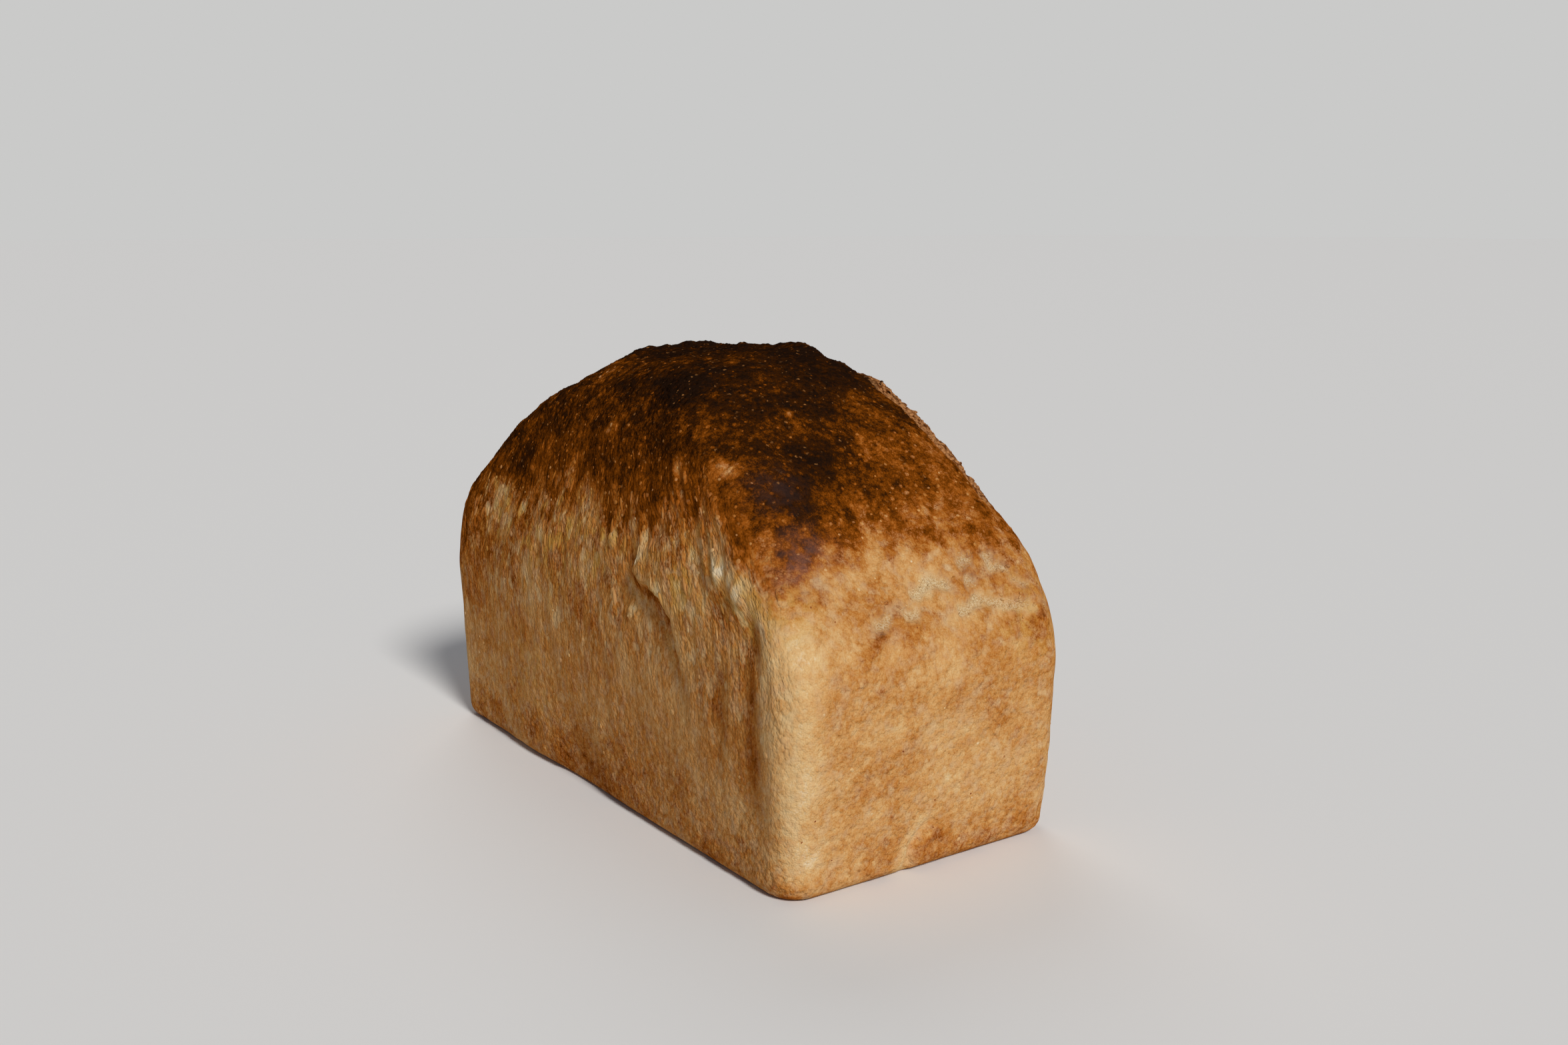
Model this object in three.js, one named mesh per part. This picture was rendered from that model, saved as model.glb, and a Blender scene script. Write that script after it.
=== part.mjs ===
// A tin loaf: one solid of bread, baked in a deep rectangular tin and turned out whole.
//
// Millimetres. The loaf stands on its base at z = 0, long axis along X, with the origin at the
// middle of the base. The walls flare a little, the dome arches along X and leans towards +Y,
// and a lengthwise score has opened along the top into a charred lip with rough bloom behind it.
//
// The smooth form is a stack of rounded-rectangle rings. Relief is then added along its normals.

import * as THREE from "three";

// ---- Driving dimensions -------------------------------------------------------------------

const BASE_LENGTH = 213;
const BASE_WIDTH = 100;
const SHOULDER_HEIGHT = 62; // where the tin's walls end and the dome begins to curve in
const DOME_RISE = 78.5; // from the shoulder to the crest
const LENGTH_FLARE = 4.3; // how far each end wall leans out by the shoulder
const WIDTH_FLARE = 1.3;
const CORNER_RADIUS = 10.5; // the upright corners
const BASE_EDGE_RADIUS = 4.2;
const CREST_HALF_LENGTH = 24.5; // the level stretch at the top of the arch
const CREST_SHIFT_X = -16;
const CREST_SHIFT_Y = 19.5;
const CREST_SLOPE = 0.00045; // the dome's lean in height per millimetre of x, at the crest

// Powers of the dome's curves: how the length, the width and the height close towards the crest.
const LENGTH_POWER = 1.3;
const WIDTH_POWER = 0.38;
const HEIGHT_POWER = 1.5;
const FLARE_POWER = 1.6;
const CREST_ROUNDNESS = 0.95; // corner radius of the top rings, as a share of their half width

// ---- Mesh density -------------------------------------------------------------------------

const AROUND = 124; // points on each ring, an even number
const EDGE_RINGS = 3; // on the rounded base edge
const BODY_RINGS = 40; // from there to the crest
const CREST_RINGS = 1; // inside the last of those
const PROFILE_STEPS = 900; // of the measured profile that the rings are spaced along
const EASING = 9; // half length of profile that each ring is averaged over, which rounds the shoulder
const EASING_SAMPLES = 12;

// ---- Small maths --------------------------------------------------------------------------

const clamp01 = (x) => Math.min(1, Math.max(0, x));

// 0 below low, 1 above high, smooth between them.
function ramp(x, low, high) {
  const t = clamp01((x - low) / (high - low));
  return t * t * (3 - 2 * t);
}

// A bell of height 1 and the given spread.
const bell = (x, spread) => Math.exp(-((x / spread) ** 2));

// A number from -1 to 1 for a lattice point.
function lattice(ix, iy, iz, seed) {
  let h =
    Math.imul(ix, 374761393) +
    Math.imul(iy, 668265263) +
    Math.imul(iz, 1274126177) +
    Math.imul(seed, 362437);
  h = Math.imul(h ^ (h >>> 13), 1274126177);
  h ^= h >>> 16;
  return ((h >>> 0) / 4294967296) * 2 - 1;
}

// Smooth noise from -1 to 1 whose lumps are about one wavelength apart.
function noise(p, wavelength, seed) {
  const q = [p.x / wavelength, p.y / wavelength, p.z / wavelength];
  const cell = q.map(Math.floor);
  const ease = q.map((x, k) => {
    const t = x - cell[k];
    return t * t * t * (t * (t * 6 - 15) + 10);
  });
  let sum = 0;
  for (let corner = 0; corner < 8; corner++) {
    const step = [corner & 1, (corner >> 1) & 1, corner >> 2];
    const share = step.map((s, k) => (s ? ease[k] : 1 - ease[k]));
    const value = lattice(cell[0] + step[0], cell[1] + step[1], cell[2] + step[2], seed);
    sum += value * share[0] * share[1] * share[2];
  }
  return sum;
}

// Where a point of a plane lies against a path of [a, b] points: how far to the path's left
// (negative) or right (positive), and how far along it as a share from 0 to 1.
function againstPath(a, b, path) {
  let best = { distance: Infinity, side: 1, along: 0 };
  const spans = path.length - 1;
  for (let i = 0; i < spans; i++) {
    const [a0, b0] = path[i];
    const [a1, b1] = path[i + 1];
    const da = a1 - a0;
    const db = b1 - b0;
    const t = clamp01(((a - a0) * da + (b - b0) * db) / (da * da + db * db));
    const distance = Math.hypot(a - a0 - da * t, b - b0 - db * t);
    if (distance < best.distance) {
      const cross = da * (b - b0) - db * (a - a0);
      best = { distance, side: cross > 0 ? -1 : 1, along: (i + t) / spans };
    }
  }
  return { across: best.distance * best.side, along: best.along };
}

// ---- The smooth form ----------------------------------------------------------------------

// Half length, half width, corner radius, centre and height of the wall's ring at height z.
function wallRing(z, inset = 0) {
  const flare = 1 - (1 - z / SHOULDER_HEIGHT) ** FLARE_POWER;
  return {
    halfLength: BASE_LENGTH / 2 + LENGTH_FLARE * flare - inset,
    halfWidth: BASE_WIDTH / 2 + WIDTH_FLARE * flare - inset,
    radius: CORNER_RADIUS - inset,
    shiftX: 0,
    shiftY: 0,
    height: z,
    slope: 0,
  };
}

// The ring of the rounded base edge at an angle from 0, on the table, to 90 degrees, on the wall.
function edgeRing(angle) {
  const z = BASE_EDGE_RADIUS * (1 - Math.cos(angle));
  return wallRing(z, BASE_EDGE_RADIUS * (1 - Math.sin(angle)));
}

// The dome's ring at an angle from 0, on the shoulder, to 90 degrees, on the crest.
function domeRing(angle) {
  const foot = wallRing(SHOULDER_HEIGHT);
  const cosine = Math.max(Math.cos(angle), 0);
  const lengthShare = cosine ** LENGTH_POWER;
  const widthShare = cosine ** WIDTH_POWER;
  const rise = DOME_RISE * Math.sin(angle) ** HEIGHT_POWER;
  const halfWidth = foot.halfWidth * widthShare;
  return {
    halfLength: CREST_HALF_LENGTH + (foot.halfLength - CREST_HALF_LENGTH) * lengthShare,
    halfWidth,
    radius: foot.radius + (halfWidth * CREST_ROUNDNESS - foot.radius) * (1 - cosine),
    shiftX: CREST_SHIFT_X * (1 - lengthShare),
    shiftY: CREST_SHIFT_Y * (1 - widthShare),
    height: SHOULDER_HEIGHT + rise,
    slope: CREST_SLOPE * rise * (1 - lengthShare),
  };
}

// The mean of several rings.
function meanRing(rings) {
  const mean = {};
  for (const key of Object.keys(rings[0])) {
    mean[key] = rings.reduce((sum, ring) => sum + ring[key], 0) / rings.length;
  }
  return mean;
}

// The wall and the dome as rings at equal steps of profile length, measured half along the loaf
// and half across it. Each is averaged with its neighbours; past the crest they run back again.
function bodyRings(count) {
  const raw = [];
  for (let i = 0; i < PROFILE_STEPS; i++) {
    const z = BASE_EDGE_RADIUS + (SHOULDER_HEIGHT - BASE_EDGE_RADIUS) * (i / PROFILE_STEPS);
    raw.push(wallRing(z));
  }
  for (let i = 0; i <= PROFILE_STEPS; i++) {
    raw.push(domeRing((Math.PI / 2) * (1 - (1 - i / PROFILE_STEPS) ** 2)));
  }
  const run = [0];
  for (let i = 1; i < raw.length; i++) {
    const up = raw[i].height - raw[i - 1].height;
    const inX = Math.hypot(up, raw[i].halfLength - raw[i - 1].halfLength);
    const inY = Math.hypot(up, raw[i].halfWidth - raw[i - 1].halfWidth);
    run.push(run[i - 1] + (inX + inY) / 2);
  }
  const total = run[run.length - 1];
  const ringAt = (length) => {
    const folded = length > total ? 2 * total - length : length;
    return raw[run.findIndex((reached) => reached >= folded - 1e-9)];
  };
  return Array.from({ length: count }, (_, k) => {
    const middle = (total * k) / (count - 1);
    const reach = Math.min(EASING, middle);
    const sample = (_, n) => ringAt(middle + reach * ((2 * n + 1) / EASING_SAMPLES - 1));
    return meanRing(Array.from({ length: EASING_SAMPLES }, sample));
  });
}

// The point of a ring at a share of its way round, anticlockwise from the middle of its +X side.
function ringPoint(ring, share) {
  const r = Math.min(ring.radius, ring.halfWidth * 0.999, ring.halfLength * 0.999);
  const straightX = ring.halfLength - r;
  const straightY = ring.halfWidth - r;
  const bend = (Math.PI / 2) * r;
  const quarter = straightX + straightY + bend;
  const turned = share * 4;
  // The first quarter turn is drawn, and the other three mirror it.
  const mirrored = Math.floor(turned) % 2 === 1;
  const d = (mirrored ? 1 - (turned % 1) : turned % 1) * quarter;
  let x = ring.halfLength;
  let y = d;
  if (d > straightY + bend) {
    x = straightX - (d - straightY - bend);
    y = ring.halfWidth;
  } else if (d > straightY) {
    const angle = (d - straightY) / r;
    x = straightX + r * Math.cos(angle);
    y = straightY + r * Math.sin(angle);
  }
  if (turned >= 1 && turned < 3) x = -x;
  if (turned >= 2) y = -y;
  return new THREE.Vector3(
    x + ring.shiftX,
    y + ring.shiftY,
    ring.height + ring.slope * x,
  );
}

// ---- Relief -------------------------------------------------------------------------------

// Paths on the loaf. Front ones are [x, z] on the -Y wall, end ones [y, z] on the +X wall,
// and top ones [x, y] seen from above.
const FRONT_FOLD = [[24, 93], [22, 81], [41, 75], [50, 65], [57, 53], [61, 40], [62, 26]];
const SCORE = [[-52, -13], [-40, -2], [-24, 13], [0, 24], [22, 32], [48, 37], [74, 41], [90, 42]];
const END_SHREDS = [
  [[46, 69], [35, 72], [25, 74], [13, 74], [5, 74], [-15, 72]],
  [[30, 85], [19, 82], [9, 82], [1, 80], [-8, 79]],
];
const END_PINCH = [[-7, 0], [-6, 8], [-3, 13], [4, 17]];

const FREE_HEIGHT = 78; // above this the crust rose clear of the tin

// Slow unevenness: little where the tin pressed the walls flat, more on the dome.
function swell(p) {
  const free = ramp(p.z, FREE_HEIGHT - 30, FREE_HEIGHT + 20);
  const broad = (0.55 + 0.75 * free) * noise(p, 52, 3);
  const narrow = (0.25 + 0.45 * free) * noise(p, 19, 5);
  return ramp(p.z, 0, 10) * (broad + narrow);
}

// A lap of dough on the front wall: it stands proud of the wall on the +X side of its edge.
function frontFold(p, normal) {
  const front = ramp(-normal.y, 0.35, 0.75);
  if (front === 0) return 0;
  const { across, along } = againstPath(p.x, p.z, FRONT_FOLD);
  const beyond = -across; // positive on the +X side of the edge
  const fade = ramp(along, 0, 0.12) * (1 - ramp(along, 0.7, 1));
  const lap = 2.6 * ramp(beyond, -4.5, 4.5) * Math.exp(-Math.max(beyond, 0) / 18);
  const hollow = -1.2 * bell(beyond + 8, 5.5);
  return front * fade * (lap + hollow);
}

// The upright corner by the fold is a plump roll with a shallow valley on each side.
function cornerRoll(p, normal) {
  const height = ramp(p.z, 10, 26) * (1 - ramp(p.z, 76, 92));
  const front = ramp(-normal.y, 0.6, 0.95) * bell(p.x - 88, 7);
  const end = ramp(normal.x, 0.6, 0.95) * bell(p.y + 32, 8);
  return -height * (1.2 * front + 0.5 * end);
}

// Torn lines below the dome of the end wall, where the crust stretched as the loaf rose.
function endShred(p, normal) {
  const end = ramp(normal.x, 0.3, 0.6);
  if (end === 0) return 0;
  const tears = END_SHREDS.reduce((sum, path) => {
    const { across, along } = againstPath(p.y, p.z, path);
    const fade = ramp(along, 0, 0.15) * (1 - ramp(along, 0.8, 1));
    return sum + fade * (-1.3 * bell(across, 3.6) + 0.5 * bell(Math.abs(across) - 7, 3.5));
  }, 0);
  return end * tears;
}

// The score along the top: a craggy lip on the -Y side of the cut, and rough bloom behind it.
function score(p, normal) {
  const top = ramp(normal.z, 0.05, 0.35) * ramp(p.z, 88, 100);
  if (top === 0) return 0;
  const { across, along } = againstPath(p.x, p.y, SCORE);
  const beyond = -across; // positive on the +Y side of the cut
  const fade = ramp(along, 0, 0.1) * (1 - ramp(along, 0.86, 1));
  const raised = 1 - ramp(p.x, 2, 24); // the lip lifts over the crest and lies flat further on
  const crag = 1 + 0.8 * noise(p, 13, 17);
  const lipHeight = Math.exp(Math.min(beyond, 0) / 8) * (1 - ramp(beyond, -2, 3));
  const lip = 2.2 * raised * crag * lipHeight;
  const cut = -2.6 * raised * bell(beyond - 6, 5);
  const bloom = 1.9 * (1 - 0.45 * raised) * bell(beyond - 14, 9) * (1 + 0.35 * noise(p, 9, 23));
  return top * fade * (lip + cut + bloom);
}

// A pinch where the dough was tucked under at the foot of the end wall.
function endPinch(p, normal) {
  const end = ramp(normal.x, 0.1, 0.5);
  if (end === 0) return 0;
  const { across, along } = againstPath(p.y, p.z, END_PINCH);
  const fade = 1 - ramp(along, 0.6, 1);
  return end * fade * (-1.9 * bell(across, 3.2) + 0.9 * bell(across + 6, 3.5));
}

// Swells and hollows that stand alone: centre, radius and height.
const HUMPS = [
  { at: [-99, -47, 84], radius: 15, height: 2.6 },
  { at: [-52, -22, 132], radius: 11, height: -2.2 },
  { at: [-40, 14, 141], radius: 8, height: 1 },
  { at: [94, 47, 82], radius: 13, height: 1.3 },
  { at: [74, 46, 100], radius: 9, height: -1.2 },
  { at: [-10, -37, 117], radius: 6.5, height: 1.4 },
  { at: [72, -46, 84], radius: 10, height: 1.3 },
  { at: [-45, -50, 12], radius: 20, height: 1.3 },
  { at: [-11, -50, 2], radius: 15, height: -2.2 },
];

function humps(p) {
  return HUMPS.reduce((sum, { at, radius, height }) => {
    const distance = Math.hypot(p.x - at[0], p.y - at[1], p.z - at[2]);
    return sum + height * bell(distance, radius);
  }, 0);
}

// Small lumps of the baked crust, coarser and deeper on the dome.
function crustLumps(p) {
  const free = ramp(p.z, FREE_HEIGHT, FREE_HEIGHT + 40);
  return (0.12 + 0.3 * free) * noise(p, 9, 31);
}

const RELIEFS = [swell, frontFold, cornerRoll, endShred, score, endPinch, humps, crustLumps];

// How far the crust stands out from the smooth form. The base stays flat.
function relief(p, normal) {
  return ramp(p.z, 0, 3) * RELIEFS.reduce((sum, part) => sum + part(p, normal), 0);
}

// ---- The solid ----------------------------------------------------------------------------

function loafRings() {
  const rings = [];
  for (let i = 0; i < EDGE_RINGS; i++) rings.push(edgeRing((i / EDGE_RINGS) * (Math.PI / 2)));
  rings.push(...bodyRings(BODY_RINGS));
  // The crest's last ring is filled with smaller ones at its own height.
  const crest = rings[rings.length - 1];
  for (let i = 1; i <= CREST_RINGS; i++) {
    const inset = (crest.halfWidth * i) / (CREST_RINGS + 0.5);
    const halfLength = crest.halfLength - inset;
    const halfWidth = crest.halfWidth - inset;
    rings.push({ ...crest, halfLength, halfWidth, radius: halfWidth });
  }
  return rings;
}

// The smooth form's normal at a grid point, from its neighbours round and up.
function gridNormal(grid, j, i) {
  const before = grid[j][(i + AROUND - 1) % AROUND];
  const after = grid[j][(i + 1) % AROUND];
  const below = grid[Math.max(j - 1, 0)][i];
  const above = grid[Math.min(j + 1, grid.length - 1)][i];
  const round = after.clone().sub(before);
  const up = above.clone().sub(below);
  return round.cross(up).normalize();
}

function loafGeometry() {
  const smooth = loafRings().map((ring) =>
    Array.from({ length: AROUND }, (_, i) => ringPoint(ring, i / AROUND)),
  );
  const points = [];
  smooth.forEach((row, j) =>
    row.forEach((p, i) => {
      const normal = gridNormal(smooth, j, i);
      points.push(p.clone().addScaledVector(normal, relief(p, normal)));
    }),
  );
  const at = (j, i) => j * AROUND + ((i + AROUND) % AROUND);
  const faces = [];
  for (let j = 0; j + 1 < smooth.length; j++) {
    for (let i = 0; i < AROUND; i++) {
      const [a, b, c, d] = [at(j, i), at(j, i + 1), at(j + 1, i + 1), at(j + 1, i)];
      // Each four-sided cell is split along its shorter diagonal.
      const rising = points[a].distanceTo(points[c]) <= points[b].distanceTo(points[d]);
      if (rising) faces.push(a, b, c, a, c, d);
      else faces.push(a, b, d, b, c, d);
    }
  }
  // Strips across the base and the crest join each point of a ring to the one opposite.
  const top = smooth.length - 1;
  for (let i = 0; i < AROUND / 2; i++) {
    const crest = [at(top, i), at(top, i + 1), at(top, -i - 1), at(top, -i)];
    const base = [at(0, i), at(0, -i), at(0, -i - 1), at(0, i + 1)];
    for (const [a, b, c, d] of [crest, base]) {
      if (b !== c && a !== d) faces.push(a, b, c, a, c, d);
      else if (a === d) faces.push(a, b, c);
      else faces.push(a, b, d);
    }
  }
  const geometry = new THREE.BufferGeometry();
  const positions = points.flatMap((p) => p.toArray());
  geometry.setAttribute("position", new THREE.Float32BufferAttribute(positions, 3));
  geometry.setIndex(faces);
  geometry.computeVertexNormals();
  return geometry;
}

// ---- The part -----------------------------------------------------------------------------

const crust = new THREE.MeshStandardMaterial({ color: 0xb9783a, roughness: 0.8, metalness: 0 });

const loaf = new THREE.Mesh(loafGeometry(), crust);
loaf.name = "loaf";

const part = new THREE.Group();
part.name = "tin_loaf";
part.add(loaf);

export default part;
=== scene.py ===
"""A tin loaf: its browned crust, torn bloom and bran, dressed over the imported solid."""

import logging
import math
from dataclasses import dataclass
from enum import Enum
from functools import partial
from typing import Any, NamedTuple

import bpy
import numpy as np
from mathutils import Matrix, Vector


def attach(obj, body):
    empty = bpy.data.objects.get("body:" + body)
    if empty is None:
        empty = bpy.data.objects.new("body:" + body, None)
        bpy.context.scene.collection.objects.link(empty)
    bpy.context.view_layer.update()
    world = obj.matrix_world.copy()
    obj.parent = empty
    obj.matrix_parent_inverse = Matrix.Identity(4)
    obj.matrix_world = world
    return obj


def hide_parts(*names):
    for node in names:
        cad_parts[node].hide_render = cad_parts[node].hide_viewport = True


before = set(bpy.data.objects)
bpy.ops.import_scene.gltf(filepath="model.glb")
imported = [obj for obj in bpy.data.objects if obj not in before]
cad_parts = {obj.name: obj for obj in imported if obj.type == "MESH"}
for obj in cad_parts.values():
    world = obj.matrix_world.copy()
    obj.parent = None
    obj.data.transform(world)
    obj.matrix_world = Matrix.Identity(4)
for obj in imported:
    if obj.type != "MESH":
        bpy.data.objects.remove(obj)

Array = np.ndarray

logging.basicConfig(level=logging.INFO, format="%(message)s")
LOG = logging.getLogger("tin_loaf")

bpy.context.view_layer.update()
MM = 0.001
BODY = "root"
NODE = "loaf"
PATH_BLEND = 2.5  # millimetres over which one stretch of a path gives way to the next
FREE_HEIGHT = 78.0  # millimetres above which the crust rose clear of the tin
HASH_PRIMES = np.array([374761393, 668265263, 1274126177])
HASH_MASK = 0xFFFFFFFF
SEED_STEP = 362437
TINY = 1e-12
FACING = (0.35, 0.75)  # how far a point has to face a side for what is there to begin and be whole
SQUARELY = (0.6, 0.95)  # the same for what keeps off the rounded corners


class Zone(Enum):
    """What the crust's mesh stores at each point, for its finish and for what grows on it."""

    BAKE = "bake"  # how far it has browned, from 0, pale cream, to 1, charred, with some painted shade
    GOLDEN = "golden"
    # painted sheen on the charred corner of the dome
    HAZE = "haze"
    DRAWN = "drawn"  # how much the skin was drawn upwards as the loaf rose
    CRUMB = "crumb"
    TORN = "torn"
    GRAIN = "grain"  # place on the shoulder that the skin rose from, and the way up from it
    RISE = "rise"  # the direction in which the skin rose
    RIDGED = "ridged"
    BLISTERED = "blistered"
    GRAINY = "grainy"
    BRANNY = "branny"
    OPEN = "open"


# ---- Small maths --------------------------------------------------------------------------


def ramp(x: Array, low: float | Array, high: float | Array) -> Array:
    """Rises smoothly from 0 at low to 1 at high.

    Args:
        x: The values to ramp.
        low: Where the ramp starts.
        high: Where the ramp ends.

    Returns:
        The ramp's value at each x.
    """
    t = np.clip((x - low) / (high - low), 0.0, 1.0)
    return t * t * (3.0 - 2.0 * t)


def bell(x: Array, spread: float) -> Array:
    """Returns a bell of height 1 around x = 0 with the given spread."""
    return np.exp(-((x / spread) ** 2))


def band(x: Array, a: float, b: float, c: float, d: float) -> Array:
    """Rises smoothly from 0 at a to 1 at b, and falls back from 1 at c to 0 at d."""
    return ramp(x, a, b) * (1 - ramp(x, c, d))


def lattice(cells: Array, seed: int) -> Array:
    """Hashes whole-number lattice points to numbers from -1 to 1.

    Args:
        cells: The three indices of each point.
        seed: Picks one of many unrelated patterns.

    Returns:
        A number for each point, the same on every run.
    """
    h = (cells @ HASH_PRIMES + seed * SEED_STEP) & HASH_MASK
    h = ((h ^ (h >> 13)) * HASH_PRIMES[2]) & HASH_MASK
    h ^= h >> 16
    return h / (HASH_MASK + 1.0) * 2.0 - 1.0


def noise(
    points: Array,
    wavelength: float,
    seed: int,
    stretch: tuple[float, float, float] = (1.0, 1.0, 1.0),
) -> Array:
    """Smooth noise from -1 to 1.

    Args:
        points: Where to read it, in millimetres.
        wavelength: Rough distance between its lumps.
        seed: Picks the pattern.
        stretch: How much longer the lumps are along each axis.

    Returns:
        The noise at each point.
    """
    q = points / (wavelength * np.array(stretch))
    cell = np.floor(q).astype(np.int64)
    t = q - cell
    ease = t * t * t * (t * (t * 6.0 - 15.0) + 10.0)
    total = np.zeros(len(points))
    for corner in range(8):
        step = np.array([corner & 1, (corner >> 1) & 1, corner >> 2])
        share = np.where(step == 1, ease, 1.0 - ease).prod(axis=1)
        total += share * lattice(cell + step, seed)
    return total


def against_path(
    a: Array, b: Array, path: list[tuple[float, float]]
) -> tuple[Array, Array]:
    """Measures where points of a plane lie against a path.

    Args:
        a: First coordinate of each point.
        b: Second coordinate of each point.
        path: The path's corners in the same two coordinates.

    Returns:
        How far each point lies to the path's left, negative to its right, and how far along
        the path it lies, from 0 to 1, which changes smoothly past the path's corners.
    """
    spans = len(path) - 1
    distances, sides, places = [], [], []
    for i in range(spans):
        (a0, b0), (a1, b1) = path[i], path[i + 1]
        da, db = a1 - a0, b1 - b0
        t = np.clip(((a - a0) * da + (b - b0) * db) / (da * da + db * db), 0.0, 1.0)
        distances.append(np.hypot(a - a0 - da * t, b - b0 - db * t))
        sides.append(np.where(da * (b - b0) - db * (a - a0) > 0, 1.0, -1.0))
        places.append((i + t) / spans)
    distance = np.array(distances)
    nearest = distance.argmin(axis=0)[None]
    across = np.take_along_axis(distance * np.array(sides), nearest, axis=0)[0]
    share = np.exp((distance.min(axis=0) - distance) / PATH_BLEND)
    along = (share * np.array(places)).sum(axis=0) / share.sum(axis=0)
    return across, along


# ---- The loaf's smooth form ---------------------------------------------------------------


class Rings(NamedTuple):
    """A stack of rounded-rectangle rings, one entry of each array for each ring."""

    half_length: Array
    half_width: Array
    radius: Array
    shift_x: Array
    shift_y: Array
    height: Array
    slope: Array


class Surface(NamedTuple):
    """Points of the smooth form, in millimetres, ring by ring."""

    points: Array
    normals: Array
    grain: Array
    rise: Array

    @property
    def z(self) -> Array:
        """The height of each point."""
        return self.points[:, 2]

    @property
    def front(self) -> Array:
        """How squarely each point faces the front, -Y."""
        return -self.normals[:, 1]

    @property
    def end(self) -> Array:
        """How squarely each point faces the near end, +X."""
        return self.normals[:, 0]

    def noises(self, *layers: tuple[float, float, int]) -> Array:
        """Returns a sum of smooth noises, each a height, a wavelength and a seed."""
        return sum(height * noise(self.points, size, seed) for height, size, seed in layers)

    def streaks(self, *layers: tuple[float, float, int, float]) -> Array:
        """Returns a sum of noises along the grain, each with how much longer it is that way."""
        return sum(k * noise(self.grain, size, seed, (1, 1, long)) for k, size, seed, long in layers)


@dataclass(frozen=True)
class LoafForm:
    """The form that the tin and the oven gave the dough, in millimetres, as the solid has it."""

    base_length: float = 213.0
    base_width: float = 100.0
    shoulder_height: float = 62.0
    dome_rise: float = 78.5
    length_flare: float = 4.3
    width_flare: float = 1.3
    corner_radius: float = 10.5
    base_edge_radius: float = 4.2
    crest_half_length: float = 24.5
    crest_shift_x: float = -16.0
    crest_shift_y: float = 19.5
    crest_slope: float = 0.00045
    length_power: float = 1.3
    width_power: float = 0.38
    height_power: float = 1.5
    flare_power: float = 1.6
    crest_roundness: float = 0.95
    around: int = 560
    edge_rings: int = 5
    body_rings: int = 150
    crest_rings: int = 4
    profile_steps: int = 900
    easing: float = 9.0
    easing_samples: int = 12
    roundest: float = 0.999  # the largest corner radius of a ring, of half its smaller side

    def wall(self, z: Array, inset: float | Array = 0.0) -> Rings:
        """Makes the rings of the tin's walls.

        Args:
            z: Height of each ring.
            inset: How far each ring is drawn in, on the rounded base edge.

        Returns:
            The rings.
        """
        flare = 1.0 - (1.0 - z / self.shoulder_height) ** self.flare_power
        none = np.zeros_like(z)
        return Rings(
            self.base_length / 2 + self.length_flare * flare - inset,
            self.base_width / 2 + self.width_flare * flare - inset,
            self.corner_radius - inset + none,
            *(none, none, z, none),
        )

    def dome(self, angle: Array) -> Rings:
        """Makes the rings of the dome.

        Args:
            angle: From 0 on the shoulder to a quarter turn on the crest.

        Returns:
            The rings.
        """
        foot_length = self.base_length / 2 + self.length_flare
        foot_width = self.base_width / 2 + self.width_flare
        cosine = np.maximum(np.cos(angle), 0.0)
        length_share = cosine**self.length_power
        width_share = cosine**self.width_power
        rise = self.dome_rise * np.sin(angle) ** self.height_power
        half_width = foot_width * width_share
        rounding = half_width * self.crest_roundness - self.corner_radius
        return Rings(
            self.crest_half_length + (foot_length - self.crest_half_length) * length_share,
            half_width,
            self.corner_radius + rounding * (1.0 - cosine),
            self.crest_shift_x * (1.0 - length_share),
            self.crest_shift_y * (1.0 - width_share),
            self.shoulder_height + rise,
            self.crest_slope * rise * (1.0 - length_share),
        )

    def body(self) -> tuple[Rings, Array]:
        """Spaces rings evenly up the walls and over the dome, easing the shoulder between them.

        Returns:
            The rings, and how far up the profile each one lies.
        """
        steps = np.arange(self.profile_steps)
        wall_height = self.shoulder_height - self.base_edge_radius
        wall = self.wall(self.base_edge_radius + wall_height * steps / self.profile_steps)
        turn = 1.0 - (1.0 - np.arange(self.profile_steps + 1) / self.profile_steps) ** 2
        dome = self.dome(math.pi / 2 * turn)
        raw = Rings(*(np.concatenate(pair) for pair in zip(wall, dome)))
        up = np.diff(raw.height)
        in_x = np.hypot(up, np.diff(raw.half_length))
        in_y = np.hypot(up, np.diff(raw.half_width))
        run = np.concatenate([[0.0], np.cumsum((in_x + in_y) / 2)])
        middle = run[-1] * np.arange(self.body_rings) / (self.body_rings - 1)
        reach = np.minimum(self.easing, middle)
        spread = (2 * np.arange(self.easing_samples) + 1) / self.easing_samples - 1
        at = middle[:, None] + reach[:, None] * spread
        at = np.where(at > run[-1], 2 * run[-1] - at, at)
        eased = Rings(*(np.interp(at, run, values).mean(axis=1) for values in raw))
        return eased, middle

    def rings(self) -> tuple[Rings, Array]:
        """Stacks all the rings, from the table to inside the crest.

        Returns:
            The rings, and how far up the profile each one lies.
        """
        angle = np.arange(self.edge_rings) / self.edge_rings * math.pi / 2
        z = self.base_edge_radius * (1.0 - np.cos(angle))
        edge = self.wall(z, self.base_edge_radius * (1.0 - np.sin(angle)))
        body, run = self.body()
        share = np.arange(1, self.crest_rings + 1) / (self.crest_rings + 0.5)
        inset = body.half_width[-1] * share
        last = Rings(*(np.full(self.crest_rings, values[-1]) for values in body))
        half_width = last.half_width - inset
        crest = last._replace(
            half_length=last.half_length - inset, half_width=half_width, radius=half_width
        )
        stack = Rings(*(np.concatenate(parts) for parts in zip(edge, body, crest)))
        places = np.concatenate([z - self.base_edge_radius, run, run[-1] + inset])
        return stack, places

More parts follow.
